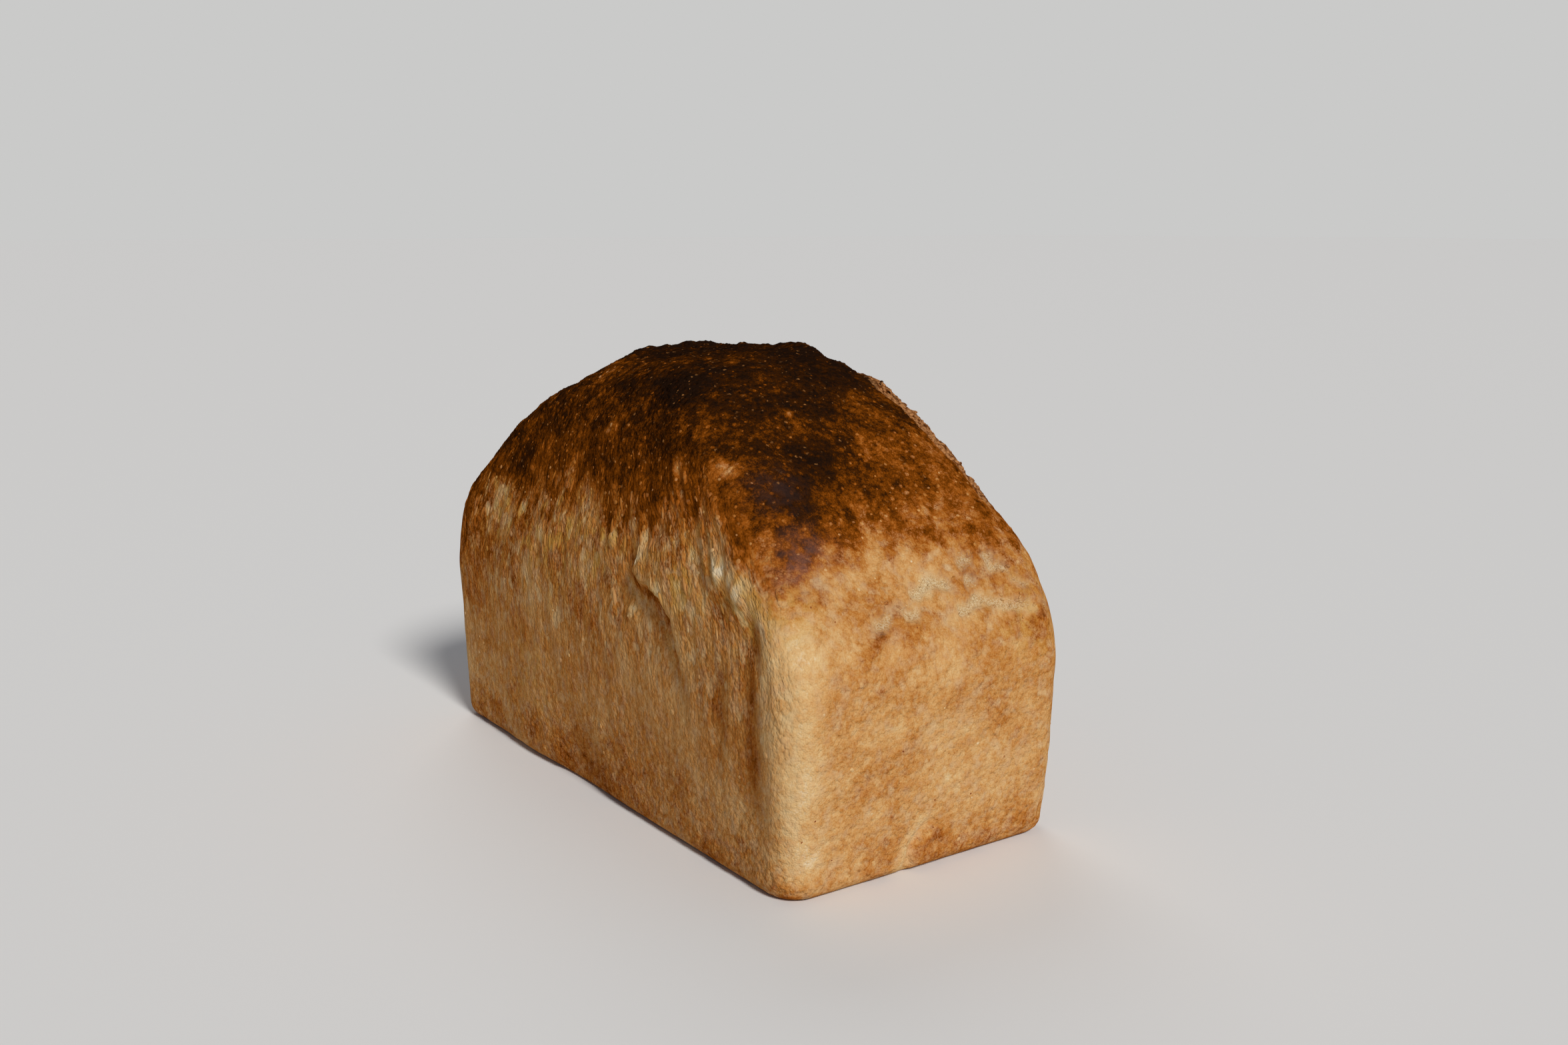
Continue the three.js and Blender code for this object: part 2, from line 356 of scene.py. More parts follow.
    def grid(self, rings: Rings) -> Array:
        """Places points at equal steps round each ring, from the middle of its +X side.

        Args:
            rings: The rings.

        Returns:
            An array of rings by points by coordinates.
        """
        half_length = rings.half_length[:, None]
        half_width = rings.half_width[:, None]
        limit = np.minimum(half_length, half_width) * self.roundest
        r = np.minimum(rings.radius[:, None], limit)
        straight_x = half_length - r
        straight_y = half_width - r
        bend = math.pi / 2 * r
        turned = np.arange(self.around) / self.around * 4
        part = turned % 1.0
        mirrored = np.floor(turned) % 2 == 1
        d = np.where(mirrored, 1.0 - part, part) * (straight_x + straight_y + bend)
        angle = np.clip((d - straight_y) / r, 0.0, math.pi / 2)
        past = np.maximum(d - straight_y - bend, 0.0)
        x = straight_x + r * np.cos(angle) - past
        y = np.minimum(d, straight_y) + r * np.sin(angle)
        x = np.where((turned >= 1) & (turned < 3), -x, x)
        y = np.where(turned >= 2, -y, y)
        z = rings.height[:, None] + rings.slope[:, None] * x
        return np.stack([x + rings.shift_x[:, None], y + rings.shift_y[:, None], z], axis=-1)

    def surface(self) -> Surface:
        """Measures the smooth form at each point of the mesh.

        The grain runs straight up the walls and over the dome. Its first two coordinates are
        the place on the shoulder that a point rose from, and its third is the way up from it.

        Returns:
            The points, their normals, their grain and the way the skin rose there.
        """
        rings, places = self.rings()
        grid = self.grid(rings)
        round_step = np.roll(grid, -1, axis=1) - np.roll(grid, 1, axis=1)
        up_step = np.concatenate([grid[1:], grid[-1:]]) - np.concatenate([grid[:1], grid[:-1]])
        normals = np.cross(round_step, up_step)
        normals /= np.linalg.norm(normals, axis=-1, keepdims=True) + TINY
        shoulder = int(np.argmax(rings.height > self.shoulder_height))
        grain = np.repeat(grid[shoulder][None], len(grid), axis=0).copy()
        grain[..., 2] = places[:, None]
        rise = up_step / (np.linalg.norm(up_step, axis=-1, keepdims=True) + TINY)
        return Surface(*(part.reshape(-1, 3) for part in (grid, normals, grain, rise)))

    def faces(self) -> Array:
        """Joins the grid into four-sided faces, with strips across the base and the crest.

        Returns:
            Four point numbers for each face, anticlockwise from outside.
        """
        count = self.edge_rings + self.body_rings + self.crest_rings
        ring = np.arange(count - 1)[:, None] * self.around
        here = np.arange(self.around)[None, :]
        after = (here + 1) % self.around
        above = ring + self.around
        sides = np.stack([ring + here, ring + after, above + after, above + here], axis=-1)
        half = np.arange(1, self.around // 2 - 1)
        opposite = self.around - half
        crest = np.stack([half, half + 1, opposite - 1, opposite], axis=-1)
        base = crest[:, ::-1]
        return np.concatenate([sides.reshape(-1, 4), base, crest + (count - 1) * self.around])

    def caps(self) -> list[tuple[int, int, int]]:
        """Closes both ends of the base's and the crest's strips.

        Returns:
            Three point numbers for each of the four faces, anticlockwise from outside.
        """
        top = (self.edge_rings + self.body_rings + self.crest_rings - 1) * self.around
        last, half = self.around - 1, self.around // 2
        ends = [(0, 1, last), (half - 1, half, half + 1)]
        crest = [tuple(top + i for i in end) for end in ends]
        return crest + [end[::-1] for end in ends]


# ---- Relief -------------------------------------------------------------------------------

# Paths on the loaf, in millimetres. Front ones are (x, z) on the -Y wall, end ones (y, z) on
# the +X wall, and top ones (x, y) seen from above.
FRONT_FOLD = [
    (29, 94), (27, 79.5), (33, 76), (41, 75), (46, 71.5), (50, 68), (53, 62), (57, 52), (60, 40),
    (61, 27),
]
FRONT_STEP = [(60, 92), (68, 88), (76, 84), (82, 80), (88, 77), (95, 74.5), (101, 71)]
SCORE = [(-52, -13), (-40, -2), (-24, 13), (0, 24), (22, 32), (48, 37), (74, 41), (90, 42)]
END_SHREDS = [
    [(-6, 79), (-4, 80), (3, 82), (8, 83), (14, 81), (19, 81), (22, 80)],
    [(4, 73), (8, 74), (14, 75), (21, 76), (28, 74), (32, 73), (38, 72), (43, 71), (47, 70)],
    [(13, 84), (16, 85), (21, 86), (28, 86), (31, 86)],
    [(-19, 74), (-16, 75), (-10, 77), (-4, 76), (0, 76)],
    [(27, 84), (29, 83), (32, 83), (34, 80), (37, 79), (39, 78)],
]
END_PINCH = [(-7, 0), (-5.5, 6), (-4, 9), (-1, 12.5), (3, 14)]


@dataclass(frozen=True)
class Spot:
    """A round place that is higher, browner or more tinted than its surroundings, or less.

    Where tall isn't 1, the spot is that many times taller than it is wide.
    """

    x: float
    y: float
    z: float
    radius: float
    change: float
    tall: float = 1.0

    def apply(self, points: Array) -> Array:
        """Returns how much the spot changes each point."""
        offset = (points - np.array([self.x, self.y, self.z])) / (1.0, 1.0, self.tall)
        return self.change * bell(np.linalg.norm(offset, axis=1), self.radius)


@dataclass(frozen=True)
class Blister(Spot):
    """A raised blister with a flat top and a steep rim."""

    def apply(self, points: Array) -> Array:
        """Returns how far the blister lifts each point."""
        away = np.linalg.norm(points - np.array([self.x, self.y, self.z]), axis=1) / self.radius
        return self.change * (1 - ramp(away, 0.6, 1.05)) * (0.8 + 0.2 * ramp(away, 0.2, 0.7))


# Each row is x, y and z of the middle, the radius and the height.
BLISTERS = [
    (-3, -40, 118, 3.4, 1.0), (40, -42, 112, 2.4, 0.6), (56, -39, 113, 4.0, 0.8),
    (62, -37, 113, 2.6, 0.6), (50, -9, 126, 2.0, 0.4), (27, -50, 66, 3.4, 0.7),
    (12, -49, 86, 2.6, 0.6), (-21, -49, 88, 2.4, 0.6), (82, -49, 82, 3.4, 0.7),
    (72, -50, 87, 3.0, 0.7),
]
HUMPS = [
    (-99, -47, 84, 15, 2.6), (-52, -22, 132, 11, -2.2), (-40, 14, 141, 8, 1.0),
    (94, 47, 82, 13, 1.3), (32, 40, 130, 12, 1.2), (74, 46, 100, 9, -1.2),
    (-10, -37, 117, 6.5, 1.0), (72, -46, 84, 10, 1.0), (-45, -50, 12, 20, 1.3),
    (-11, -50, 2, 15, -2.2), (45, -50, 84, 9, 0.9),
]


@dataclass(frozen=True)
class CrustRelief:
    """How far the baked crust stands out from the smooth form, in millimetres."""

    surface: Surface
    fold_height: float = 2.1
    fold_edge: float = 1.2
    fold_hollow: float = 1.2
    step_height: float = 0.4
    valley_depth: float = 0.4
    pleat_height: float = 0.45
    pleat_band: tuple[float, ...] = (56, 76, 104, 122)  # heights where they begin and end
    wrinkle_height: float = 0.55
    pulled_band: tuple[float, ...] = (58, 72, 88, 102)
    slant: float = math.radians(36)
    corner_band: tuple[float, ...] = (10, 26, 76, 92)
    tear_depth: float = 1.2
    lip_height: float = 2.4
    cut_depth: float = 3.4
    bloom_height: float = 1.9
    bloom_width: float = 24.0
    strip_width: float = 2.2
    tuck_height: float = 0.9
    pinch_depth: float = 1.7
    skin_height: float = 0.26

    def swell(self) -> Array:
        """Works out slow unevenness: little on the walls that the tin pressed, more on the dome.

        Returns:
            The height of each point.
        """
        s = self.surface
        free = ramp(s.z, FREE_HEIGHT - 30, FREE_HEIGHT + 20)
        broad = (0.55 + 0.75 * free) * s.noises((1, 52, 3))
        narrow = (0.25 + 0.45 * free) * s.noises((1, 19, 5))
        lumps = (0.12 + 0.38 * ramp(s.z, FREE_HEIGHT, FREE_HEIGHT + 40)) * s.noises((1, 9, 31))
        return ramp(s.z, 0, 10) * (broad + narrow) + lumps

    def beyond_fold(self) -> tuple[Array, Array, Array]:
        """Measures each point against the edge of the lap on the front wall.

        Returns:
            How far each point lies to the lap's side of the edge, how far along the edge it
            lies, and how much of the lap there is.
        """
        s = self.surface
        across, along = against_path(s.points[:, 0], s.z, FRONT_FOLD)
        there = ramp(s.front, *FACING) * band(along, 0, 0.16, 0.5, 0.97)
        return across + s.noises((0.9, 6, 41), (0.7, 2.8, 42)), along, there

    def front_fold(self) -> Array:
        """Lifts a lap of dough on the front wall, proud on the +X side of its edge.

        Returns:
            The height of each point.
        """
        beyond, along, there = self.beyond_fold()
        soft = self.fold_edge + 4 * ramp(along, 0.45, 0.85)
        lap = self.fold_height * ramp(beyond, -soft, soft) * np.exp(-np.maximum(beyond, 0) / 16)
        return there * (lap - self.fold_hollow * bell(beyond + 5, 5))

    def beyond_step(self) -> tuple[Array, Array]:
        """Measures each point against the second, smaller lap that runs on to the corner.

        Returns:
            How far each point lies above the lap's edge, and how much of the lap there is.
        """
        s = self.surface
        across, along = against_path(s.points[:, 0], s.z, FRONT_STEP)
        there = ramp(s.front, *FACING) * band(along, 0, 0.2, 0.75, 1)
        return across + s.noises((1.3, 5, 44), (0.8, 2.8, 45)), there

    def front_step(self) -> Array:
        """Lifts the second lap and sinks the valley between the two.

        Returns:
            The height of each point.
        """
        beyond, there = self.beyond_step()
        lap = self.step_height * ramp(beyond, -1.6, 1.6) * np.exp(-np.maximum(beyond, 0) / 8)
        return there * (lap - self.valley_depth * bell(beyond + 6, 5))

    def pleats(self) -> Array:
        """Lifts the upright pleats where the skin of the side walls was drawn up and let go.

        Returns:
            The height of each point.
        """
        s = self.surface
        side = ramp(np.abs(s.front), *SQUARELY) * band(s.z, *self.pleat_band)
        ridges = 1 - 2.6 * np.abs(s.streaks((1, 6.5, 63, 3.4)))
        return self.pleat_height * side * ridges * (0.6 + s.noises((0.6, 22, 65)))

    def pulled(self) -> Array:
        """Returns how much of each point is the end wall's shoulder, whose skin was pulled aslant."""
        return ramp(self.surface.end, 0.35, 0.7) * band(self.surface.z, *self.pulled_band)

    def wrinkles(self) -> Array:
        """Lays slanting wrinkles below the dome of the end wall.

        Returns:
            The height of each point, from -1 to 1.
        """
        x, y, z = self.surface.points.T
        along = y * math.cos(self.slant) + z * math.sin(self.slant)
        across = z * math.cos(self.slant) - y * math.sin(self.slant)
        zone = ramp(self.surface.end, 0.5, 0.85) * bell(np.hypot(y + 10, z - 70), 26)
        zone = np.maximum(zone, 0.8 * self.pulled())
        return zone * noise(np.stack([x, along, across], axis=1), 3.6, 127, (2, 3.4, 1))

    def corner_roll(self) -> Array:
        """Sinks the shallow valleys on both sides of the plump upright corner.

        Returns:
            The height of each point.
        """
        x, y, z = self.surface.points.T
        front = ramp(self.surface.front, *SQUARELY)
        end = ramp(self.surface.end, *SQUARELY) * bell(y + 32, 8)
        groove = front * bell(x - 74, 4) * ramp(z, 28, 40)
        valleys = front * bell(x - 89, 6) + 0.5 * end + 0.5 * groove * (1 - ramp(z, 56, 68))
        return -band(z, *self.corner_band) * valleys

    def torn(self) -> Array:
        """Finds the torn crust below the dome of the end wall.

        Returns:
            How much of each point is torn.
        """
        s = self.surface
        wander = s.noises((0.9, 5, 43), (0.6, 2.2, 49))
        torn = np.zeros(len(s.z))
        for path in END_SHREDS:
            across, along = against_path(s.points[:, 1], s.z, path)
            torn = np.maximum(torn, band(along, 0, 0.2, 0.8, 1) * bell(across + wander, 1.5))
        return ramp(s.end, 0.3, 0.6) * torn * ramp(s.noises((1, 5, 47)), -0.6, 0.2)

    def beyond_score(self) -> tuple[Array, Array, Array]:
        """Measures each point against the score along the top.

        Returns:
            How far each point lies to the score's bloom side, how open the score is there, and
            how much of its lip stands up.
        """
        s = self.surface
        top = ramp(s.normals[:, 2], 0.05, 0.35) * ramp(s.z, 88, 100)
        across, along = against_path(s.points[:, 0], s.points[:, 1], SCORE)
        return across, top * band(along, 0, 0.1, 0.86, 1), 1 - ramp(s.points[:, 0], 6, 32)

    def crumb(self) -> Array:
        """Finds the open crumb behind the score.

        Returns:
            How much of each point is crumb.
        """
        s = self.surface
        beyond, opened, raised = self.beyond_score()
        beyond = beyond + self.strip_width * (1 - raised)
        edge = s.noises((2.5, 9, 53), (1.2, 3.5, 59))
        width = self.bloom_width + s.noises((4, 30, 61))
        inside = ramp(beyond + edge * 0.35, 0.2, 2.2) * (1 - ramp(beyond + edge, width - 4, width))
        return opened * inside

    def score(self) -> Array:
        """Raises the score's craggy lip and its bloom, and sinks the cut between them.

        Returns:
            The height of each point.
        """
        s = self.surface
        beyond, opened, raised = self.beyond_score()
        crag = 0.9 + s.noises((0.9, 12, 17), (0.5, 5, 19), (0.3, 2.6, 21))
        slope = np.exp(np.minimum(beyond, 0) / 6) * (1 - ramp(beyond, -1, 1.5))
        lip = self.lip_height * raised * np.maximum(crag, 0.1) * slope
        cut = -self.cut_depth * raised * bell(beyond - 5, 4.5)
        bloom = self.bloom_height * (1 - 0.8 * raised) * bell(beyond - 13, 9)
        return opened * (lip + cut + bloom * (1 + s.noises((0.35, 9, 23))))

    def open_crumb(self) -> Array:
        """Opens the bloom's cells: thin standing walls with hollows between them.

        Returns:
            The height of each point.
        """
        coarse, fine = (np.abs(self.surface.noises(layer)) for layer in ((1, 4.2, 67), (1, 2.4, 71)))
        height = 0.9 * (1 - ramp(coarse, 0, 0.45)) - 0.7 + 0.45 * (1 - ramp(fine, 0, 0.4))
        return self.crumb() * height * (1 - 0.5 * self.beyond_score()[2])

    def beyond_pinch(self) -> tuple[Array, Array]:
        """Measures each point against the pinch at the foot of the end wall.

        Returns:
            How far each point lies to the pinch's -Y side, and how much of the pinch there is.
        """
        across, along = against_path(self.surface.points[:, 1], self.surface.z, END_PINCH)
        return across, ramp(self.surface.end, 0.1, 0.5) * (1 - ramp(along, 0.6, 1))

    def end_pinch(self) -> Array:
        """Pinches the foot of the end wall, where the dough was tucked under.

        Returns:
            The height of each point.
        """
        beyond, there = self.beyond_pinch()
        tuck = self.tuck_height * ramp(-beyond, -0.6, 1.2) * np.exp(np.minimum(beyond, 0) / 8)
        return there * (tuck - self.pinch_depth * bell(beyond - 1.2, 1.5))

    def drawn(self) -> Array:
        """Finds the skin that was drawn upwards as the loaf rose.

        Returns:
            How much the skin of each point was drawn.
        """
        z = self.surface.z
        height = ramp(z, 10, 60) * (1 - 0.6 * ramp(z, 92, 110)) * (1 - ramp(z, 110, 126))
        return (0.1 + 0.8 * ramp(np.abs(self.surface.front), 0.45, 0.9)) * height

    def skin(self) -> Array:
        """Wrinkles the skin finely, along the grain where it was stretched.

        Returns:
            The height of each point.
        """
        s = self.surface
        long = s.streaks((0.8, 2.6, 73, 3), (0.5, 4.6, 79, 4))
        even = s.noises((0.6, 2.8, 83), (0.5, 5.5, 89))
        share = self.drawn()
        height = self.skin_height * (1 + 0.8 * ramp(s.z, 85, 110))
        return height * (share * long * 1.3 + (1 - share) * even) * (1 - self.crumb())

    def height(self) -> Array:
        """Sums the relief.

        Returns:
            How far each point moves along its normal. The base stays flat.
        """
        parts = [
            self.swell(),
            self.front_fold(),
            self.front_step(),
            self.pleats(),
            self.wrinkle_height * self.wrinkles(),
            self.corner_roll(),
            -self.tear_depth * self.torn(),
            self.score(),
            self.open_crumb(),
            self.end_pinch(),
            self.skin(),
            sum(Spot(*row).apply(self.surface.points) for row in HUMPS),
            sum(Blister(*row).apply(self.surface.points) for row in BLISTERS),
        ]
        return ramp(self.surface.z, 0, 3) * sum(parts)


# ---- Browning -----------------------------------------------------------------------------

# Each row is x, y and z of the middle, the radius, how much browner the crust is there, or paler
# where that is below 0, and how much taller than wide the place is, where it isn't round.
CHARRED = [
    (72, -22, 110, 15, 0.20), (73, -5, 109, 9, 0.07), (80, -26, 102, 11, 0.10),
    (88, -32, 94, 7, 0.19), (24, -25, 131, 13, 0.10), (12, -27, 134, 6, 0.12),
    (-12, 4, 140, 16, 0.12), (10, 20, 140, 14, 0.16), (26, 22, 137, 10, 0.12),
    (-30, 14, 141, 14, 0.12), (-48, 0, 138, 14, 0.15), (34, 20, 134, 12, 0.10),
    (42, 4, 128, 13, 0.09), (-20, -43, 107, 16, 0.02), (-58, -44, 106, 14, 0.08),
    (-80, -38, 107, 12, 0.08), (-55, -22, 130, 7, 0.18), (-45, -34, 122, 14, 0.05),
]
PALE = [
    (60, 22, 118, 12, -0.11), (47, 16, 127, 9, -0.12), (76, 30, 109, 10, -0.13),
    (79, -48, 83, 8, -0.10), (45, -51, 76, 7, -0.06), (97, -51, 56, 4, -0.07, 3.0),
    (34, -51, 34, 12, -0.09, 1.4), (60, -51, 32, 9, -0.05), (15, -7, 139, 4, -0.10),
    (34, 1, 134, 5, -0.06), (45, -46, 99, 14, -0.09), (66, -46, 94, 9, -0.16),
    (92, 20, 93, 14, -0.04), (57, -39, 113, 4.6, -0.22), (61, -37, 113, 3, -0.14),
    (-3, -40, 118, 2.6, -0.16), (40, -42, 112, 2.6, -0.2), (-30, -27, 133, 5, -0.16),
    (-42, -23, 133, 5, -0.16), (50, -9, 126, 1.5, -0.45), (94, -7, 87, 6, -0.09),
    (97, -19, 85, 6, -0.09), (93, 5, 89, 5, -0.07), (-60, -48, 86, 16, -0.03, 1.2),
    (-6, -49, 83, 10, -0.03, 1.6),
]
BROWNED_WALL = [
    (91, -51, 50, 5, 0.16, 4.5), (75, -52, 52, 5, 0.10, 2.2), (75, -50, 77, 5, 0.09, 1.2),
    (109, -36, 50, 6, 0.06, 4.5), (108, -10, 58, 12, 0.03), (105, -4, 74, 4, 0.07),
    (104, -15, 73, 4, 0.07), (107, 6, 11, 8, 0.03), (5, -51, 10, 24, 0.08, 0.6),
    (-25, -51, 12, 20, 0.04, 0.6), (43, -51, 6, 18, 0.04, 0.5), (18, -50, 74, 7, 0.05, 2.0),
    (-106, -50, 70, 20, 0.24, 1.5), (-60, -51, 68, 12, 0.06), (76, -51, 20, 13, -0.08),
    (-84, -51, 60, 14, 0.10), (100, -30, 80, 9, 0.02), (103, -25, 68, 12, 0.06),
    (98, 25, 84, 12, 0.06), (105, 2, 70, 16, 0.04), (110, 44, 50, 9, 0.12, 4.5),
    (92, 40, 92, 8, 0.04), (103, 39, 76, 8, 0.06), (108, -34, 20, 7, 0.09), (108, 38, 16, 7, 0.07),
    (92, -20, 90, 5, 0.06), (96, -42, 85, 6, 0.07), (-86, -50, 82, 13, 0.09),
]
# How much of a tint there is, in rows of the same kind.
GOLDEN = [
    (-70, -48, 86, 22, 0.9, 0.9), (-25, -49, 84, 24, 0.9, 0.9), (10, -49, 82, 13, 0.8),
    (50, -50, 80, 16, 0.7), (85, -49, 78, 12, 0.7), (103, -44, 83, 9, 0.5), (104, 36, 70, 14, 0.5),
    (-40, -51, 30, 26, 0.35, 0.6),
]
# Where the painted purple-grey sheen lies on the charred corner of the dome.
SHEEN_SPOTS = [
    (90, -31, 92, 8, 0.62), (93, -38, 87, 5, 0.6), (72, -30, 108, 8, 0.18),
]
# Flakes on the front wall: x, z and size.
FLAKES = [
    (30, 89, 1.8), (30, 84, 2.2), (43, 76, 2.6), (53, 79, 1.8), (45, 90, 1.6), (57, 89, 2.0),
    (69, 88, 2.0), (73, 89, 1.8), (72, 86, 2.4), (78, 86, 2.0), (82, 81, 2.6), (83, 84, 2.2),
    (27, 67, 1.8), (-21, 89, 1.8), (-35, 80, 2.0), (-7, 90, 1.8), (-5, 78, 1.8), (13, 87, 2.4),
    (7, 85, 1.5), (-79, 82, 1.8), (-52, 86, 1.8), (62, 73, 1.6), (56, 75, 1.8),
]


class Edge(NamedTuple):
    """What an edge does to the browning: a brown line on one side and a pale one on the other."""

    brown: float
    brown_at: float
    brown_width: float
    pale: float
    pale_at: float
    pale_width: float

    def change(self, beyond: Array) -> Array:
        """Works out how the browning changes.

        Args:
            beyond: How far each point lies beyond the edge.

        Returns:
            The change at each point.
        """
        brown = self.brown * bell(beyond - self.brown_at, self.brown_width)
        pale = self.pale * bell(beyond - self.pale_at, self.pale_width)
        return brown - pale


@dataclass(frozen=True)
class Browning:
    """How far the crust has baked, from 0, pale cream, to 1, charred, with some painted shade and
    highlight.
    """

    relief: CrustRelief
    wall: float = 0.43
    end_wall: float = 0.35
    dome: float = 0.75
    crest: float = 0.84
    rim_height: float = 95.0
    rim_below: float = 17.0  # how far the tin's paler walls fade upwards into the dome
    rim_above: float = 19.0
    # painted shade darkening the foot, most on the end wall
    foot_change: float = 0.02
    end_foot_change: float = 0.04
    pulled_change: float = 0.02
    wrinkle_change: float = 0.13
    torn_change: float = -0.12
    flake_change: float = -0.24
    flake_height: float = 1.5  # of its width
    corner: tuple[float, float] = (104.0, 45.0)
    corner_spread: float = 10.0
    corner_band: tuple[float, ...] = (2, 14, 70, 86)
    corner_change: float = -0.21
    warm_corner_share: float = 0.25
    # on the laps the brown line paints shade in the hollow under the edge, the pale one a lit lip
    fold_edge: Edge = Edge(0.18, -1.8, 1.8, 0.10, 2.2, 2.0)
    step_edge: Edge = Edge(0.07, -3.0, 3.0, 0.12, 2.0, 2.6)
    pinch_edge: Edge = Edge(0.03, -2.0, 3.0, 0.24, 3.2, 2.8)

    def bake(self) -> Array:
        """Works out the browning.

        Returns:
            The browning of each point.
        """
        s = self.relief.surface
        end = ramp(np.abs(s.end), 0.4, 0.85)
        low = self.wall + (self.end_wall - self.wall) * end
        high = self.dome + (self.crest - self.dome) * ramp(s.z, 112, 136)
        drawn = s.streaks((4, 3.2, 101, 4), (5, 9, 103, 2))
        rim = self.rim_height + 0.05 * np.clip(s.points[:, 0], -100, 0) - 2 * end + drawn
        above = ramp(s.z, rim - self.rim_below, rim + self.rim_above)
        blotches = s.noises((0.07, 6, 115), (0.08, 3, 117))
        bake = low + (high - low) * above + 4 * above * (1 - above) * blotches
        bake += s.noises((0.05, 26, 107), (0.05, 11, 109))
        bake += sum(Spot(*row).apply(s.points) for row in CHARRED + PALE + BROWNED_WALL)
        bake += self.flake_change * self.flakes() + self.corner_change * self.columns()
        # painted shade along the foot
        bake += (self.foot_change + self.end_foot_change * end) * (1 - ramp(s.z, 2, 20))
        bake += self.pulled_change * self.relief.pulled() + self.torn_change * self.relief.torn()
        bake += self.wrinkle_change * self.relief.wrinkles() + self.edges()
        return np.clip(bake, 0.0, 1.0)

    def edges(self) -> Array:
        """Browns one side of the laps' and the pinch's edges, and leaves the other side pale.

        On the laps the brown is painted shade in the hollow below the edge, and the pale is a lighter
        lip with a painted highlight.

        Returns:
            The change at each point.
        """
        beyond, _, there = self.relief.beyond_fold()
        change = there * self.fold_edge.change(beyond)
        beyond, there = self.relief.beyond_step()
        change += there * self.step_edge.change(beyond)
        beyond, there = self.relief.beyond_pinch()
        return change + there * self.pinch_edge.change(beyond)

    def flakes(self) -> Array:
        """Finds the pale ragged flakes on the front wall.

        Returns:
            How much of each point is a flake.
        """
        s = self.relief.surface
        x = s.points[:, 0] + s.noises((1, 2.6, 111))
        z = s.z + s.noises((1, 2.6, 113))
        total = np.zeros(len(z))
        for flake_x, flake_z, size in FLAKES:
            away = np.hypot(x - flake_x, (z - flake_z) / self.flake_height)
            total += 1 - ramp(away, size * 0.5, size * 1.1)
        return ramp(s.front, 0.5, 0.8) * total

    def columns(self) -> Array:
        """Finds the pale upright corners, which the tin kept coolest.

        Returns:
            How much of each point is a pale corner.
        """
        x, y, z = self.relief.surface.points.T
        away = np.hypot(np.abs(x) - self.corner[0], np.abs(y) - self.corner[1])
        kept = np.where((x > 0) & (y > 0), self.warm_corner_share, 1.0)
        return kept * bell(away, self.corner_spread) * band(z, *self.corner_band)

    def tint(self, rows: list[tuple[float, ...]]) -> Array:
        """Returns how much of a tint each point has from a table of spots."""
        return np.clip(sum(Spot(*row).apply(self.relief.surface.points) for row in rows), 0.0, 1.0)


# ---- Finishes -----------------------------------------------------------------------------


def linear(hex_colour: str) -> tuple[float, float, float, float]:
    """Turns an sRGB hex value into a linear colour.

    Args:
        hex_colour: Six hex digits after a hash sign.

    Returns:
        Red, green, blue and an alpha of 1.
    """
    parts = [int(hex_colour[i : i + 2], 16) / 255 for i in (1, 3, 5)]
    red, green, blue = (p / 12.92 if p <= 0.04045 else ((p + 0.055) / 1.055) ** 2.4 for p in parts)
    return red, green, blue, 1.0


def per_mm(millimetres: float) -> float:
    """Returns the scale that gives a pattern on metres one lump every so many millimetres."""
    return 1.0 / (millimetres * MM)


def add_node(
    tree: bpy.types.NodeTree, kind: str, inputs: dict | None = None, **settings: Any
) -> bpy.types.Node:
    """Adds a node to a shader or geometry tree.

    Args:
        tree: The tree to add to.
        kind: Blender's name for the kind of node.
        inputs: Values, sockets or nodes by input name or number. A node is linked from the
            first of its outputs that is in use.
        settings: The node's own properties.

    Returns:
        The node.
    """
    node = tree.nodes.new(kind)
    for name, value in settings.items():
        setattr(node, name, value)
    for key, value in (inputs or {}).items():
        if isinstance(value, bpy.types.Node):
            value = next(socket for socket in value.outputs if socket.enabled)
        if isinstance(value, bpy.types.NodeSocket):
            tree.links.new(value, node.inputs[key])
        else:
            node.inputs[key].default_value = value
    return node


def two_tone(tree: bpy.types.NodeTree, share: dict, dark: str, light: str) -> bpy.types.Node:
    """Colours a pattern from dark to light.

    Args:
        tree: The tree to add to.
        share: How light the pattern is, as the inputs that a Fade gives.
        dark: Its darkest colour.
        light: Its lightest colour.

    Returns:
        The node of the colour.
    """
    mix = {0: add_node(tree, "ShaderNodeMapRange", share), 6: linear(dark), 7: linear(light)}
    return add_node(tree, "ShaderNodeMix", mix, data_type="RGBA")


def bare_material(name: str) -> bpy.types.Material:
    """Makes a material whose tree is still empty.

    Args:
        name: The material's name.

    Returns:
        The material.
    """
    material = bpy.data.materials.new(name)
    material.use_nodes = True
    material.node_tree.nodes.clear()
    return material


# The factors of a layer's share, which are multiplied, and its colour.
Layer = tuple[list[Any], Any]


class Grain(Enum):
    """The patterns that baked skin is made of, finest first."""

    FINE = "fine"
    BEADS = "beads"
    LUMPS = "lumps"
    MOTTLE = "mottle"
    CLOUD = "cloud"
    CREAM_CELLS = "cream cells"
    GOLD_CELLS = "gold cells"
    ROSY_CELLS = "rosy cells"


class Wave(NamedTuple):
    """A pattern, the same all ways on a still skin and long where the skin was drawn.

    A beaded one is lowest in the middle of each bead and highest in the creases between them.
    """

    grain: Grain
    size_mm: float
    layers: float
    length: float
    beaded: bool = False


class Fade(NamedTuple):
    """How one value goes from start to end while another goes from low to high."""

    low: float
    high: float
    start: float = 0.0
    end: Any = 1.0

    def after(self, value: Any) -> dict:
        """Returns the inputs of the node that makes its output follow the value this way."""
        return {"Value": value, 1: self.low, 2: self.high, 3: self.start, 4: self.end}


class Swing(NamedTuple):
    """How far a pattern swings the browning, on pale crust and on dark."""

    grain: Grain
    pale: float
    dark: float


class Tint(NamedTuple):
    """A colour that shows where a pattern is strong, and where it has a zone, only there."""

    colour: str
    grain: Grain
    share: Fade
    zone: Zone | None = None


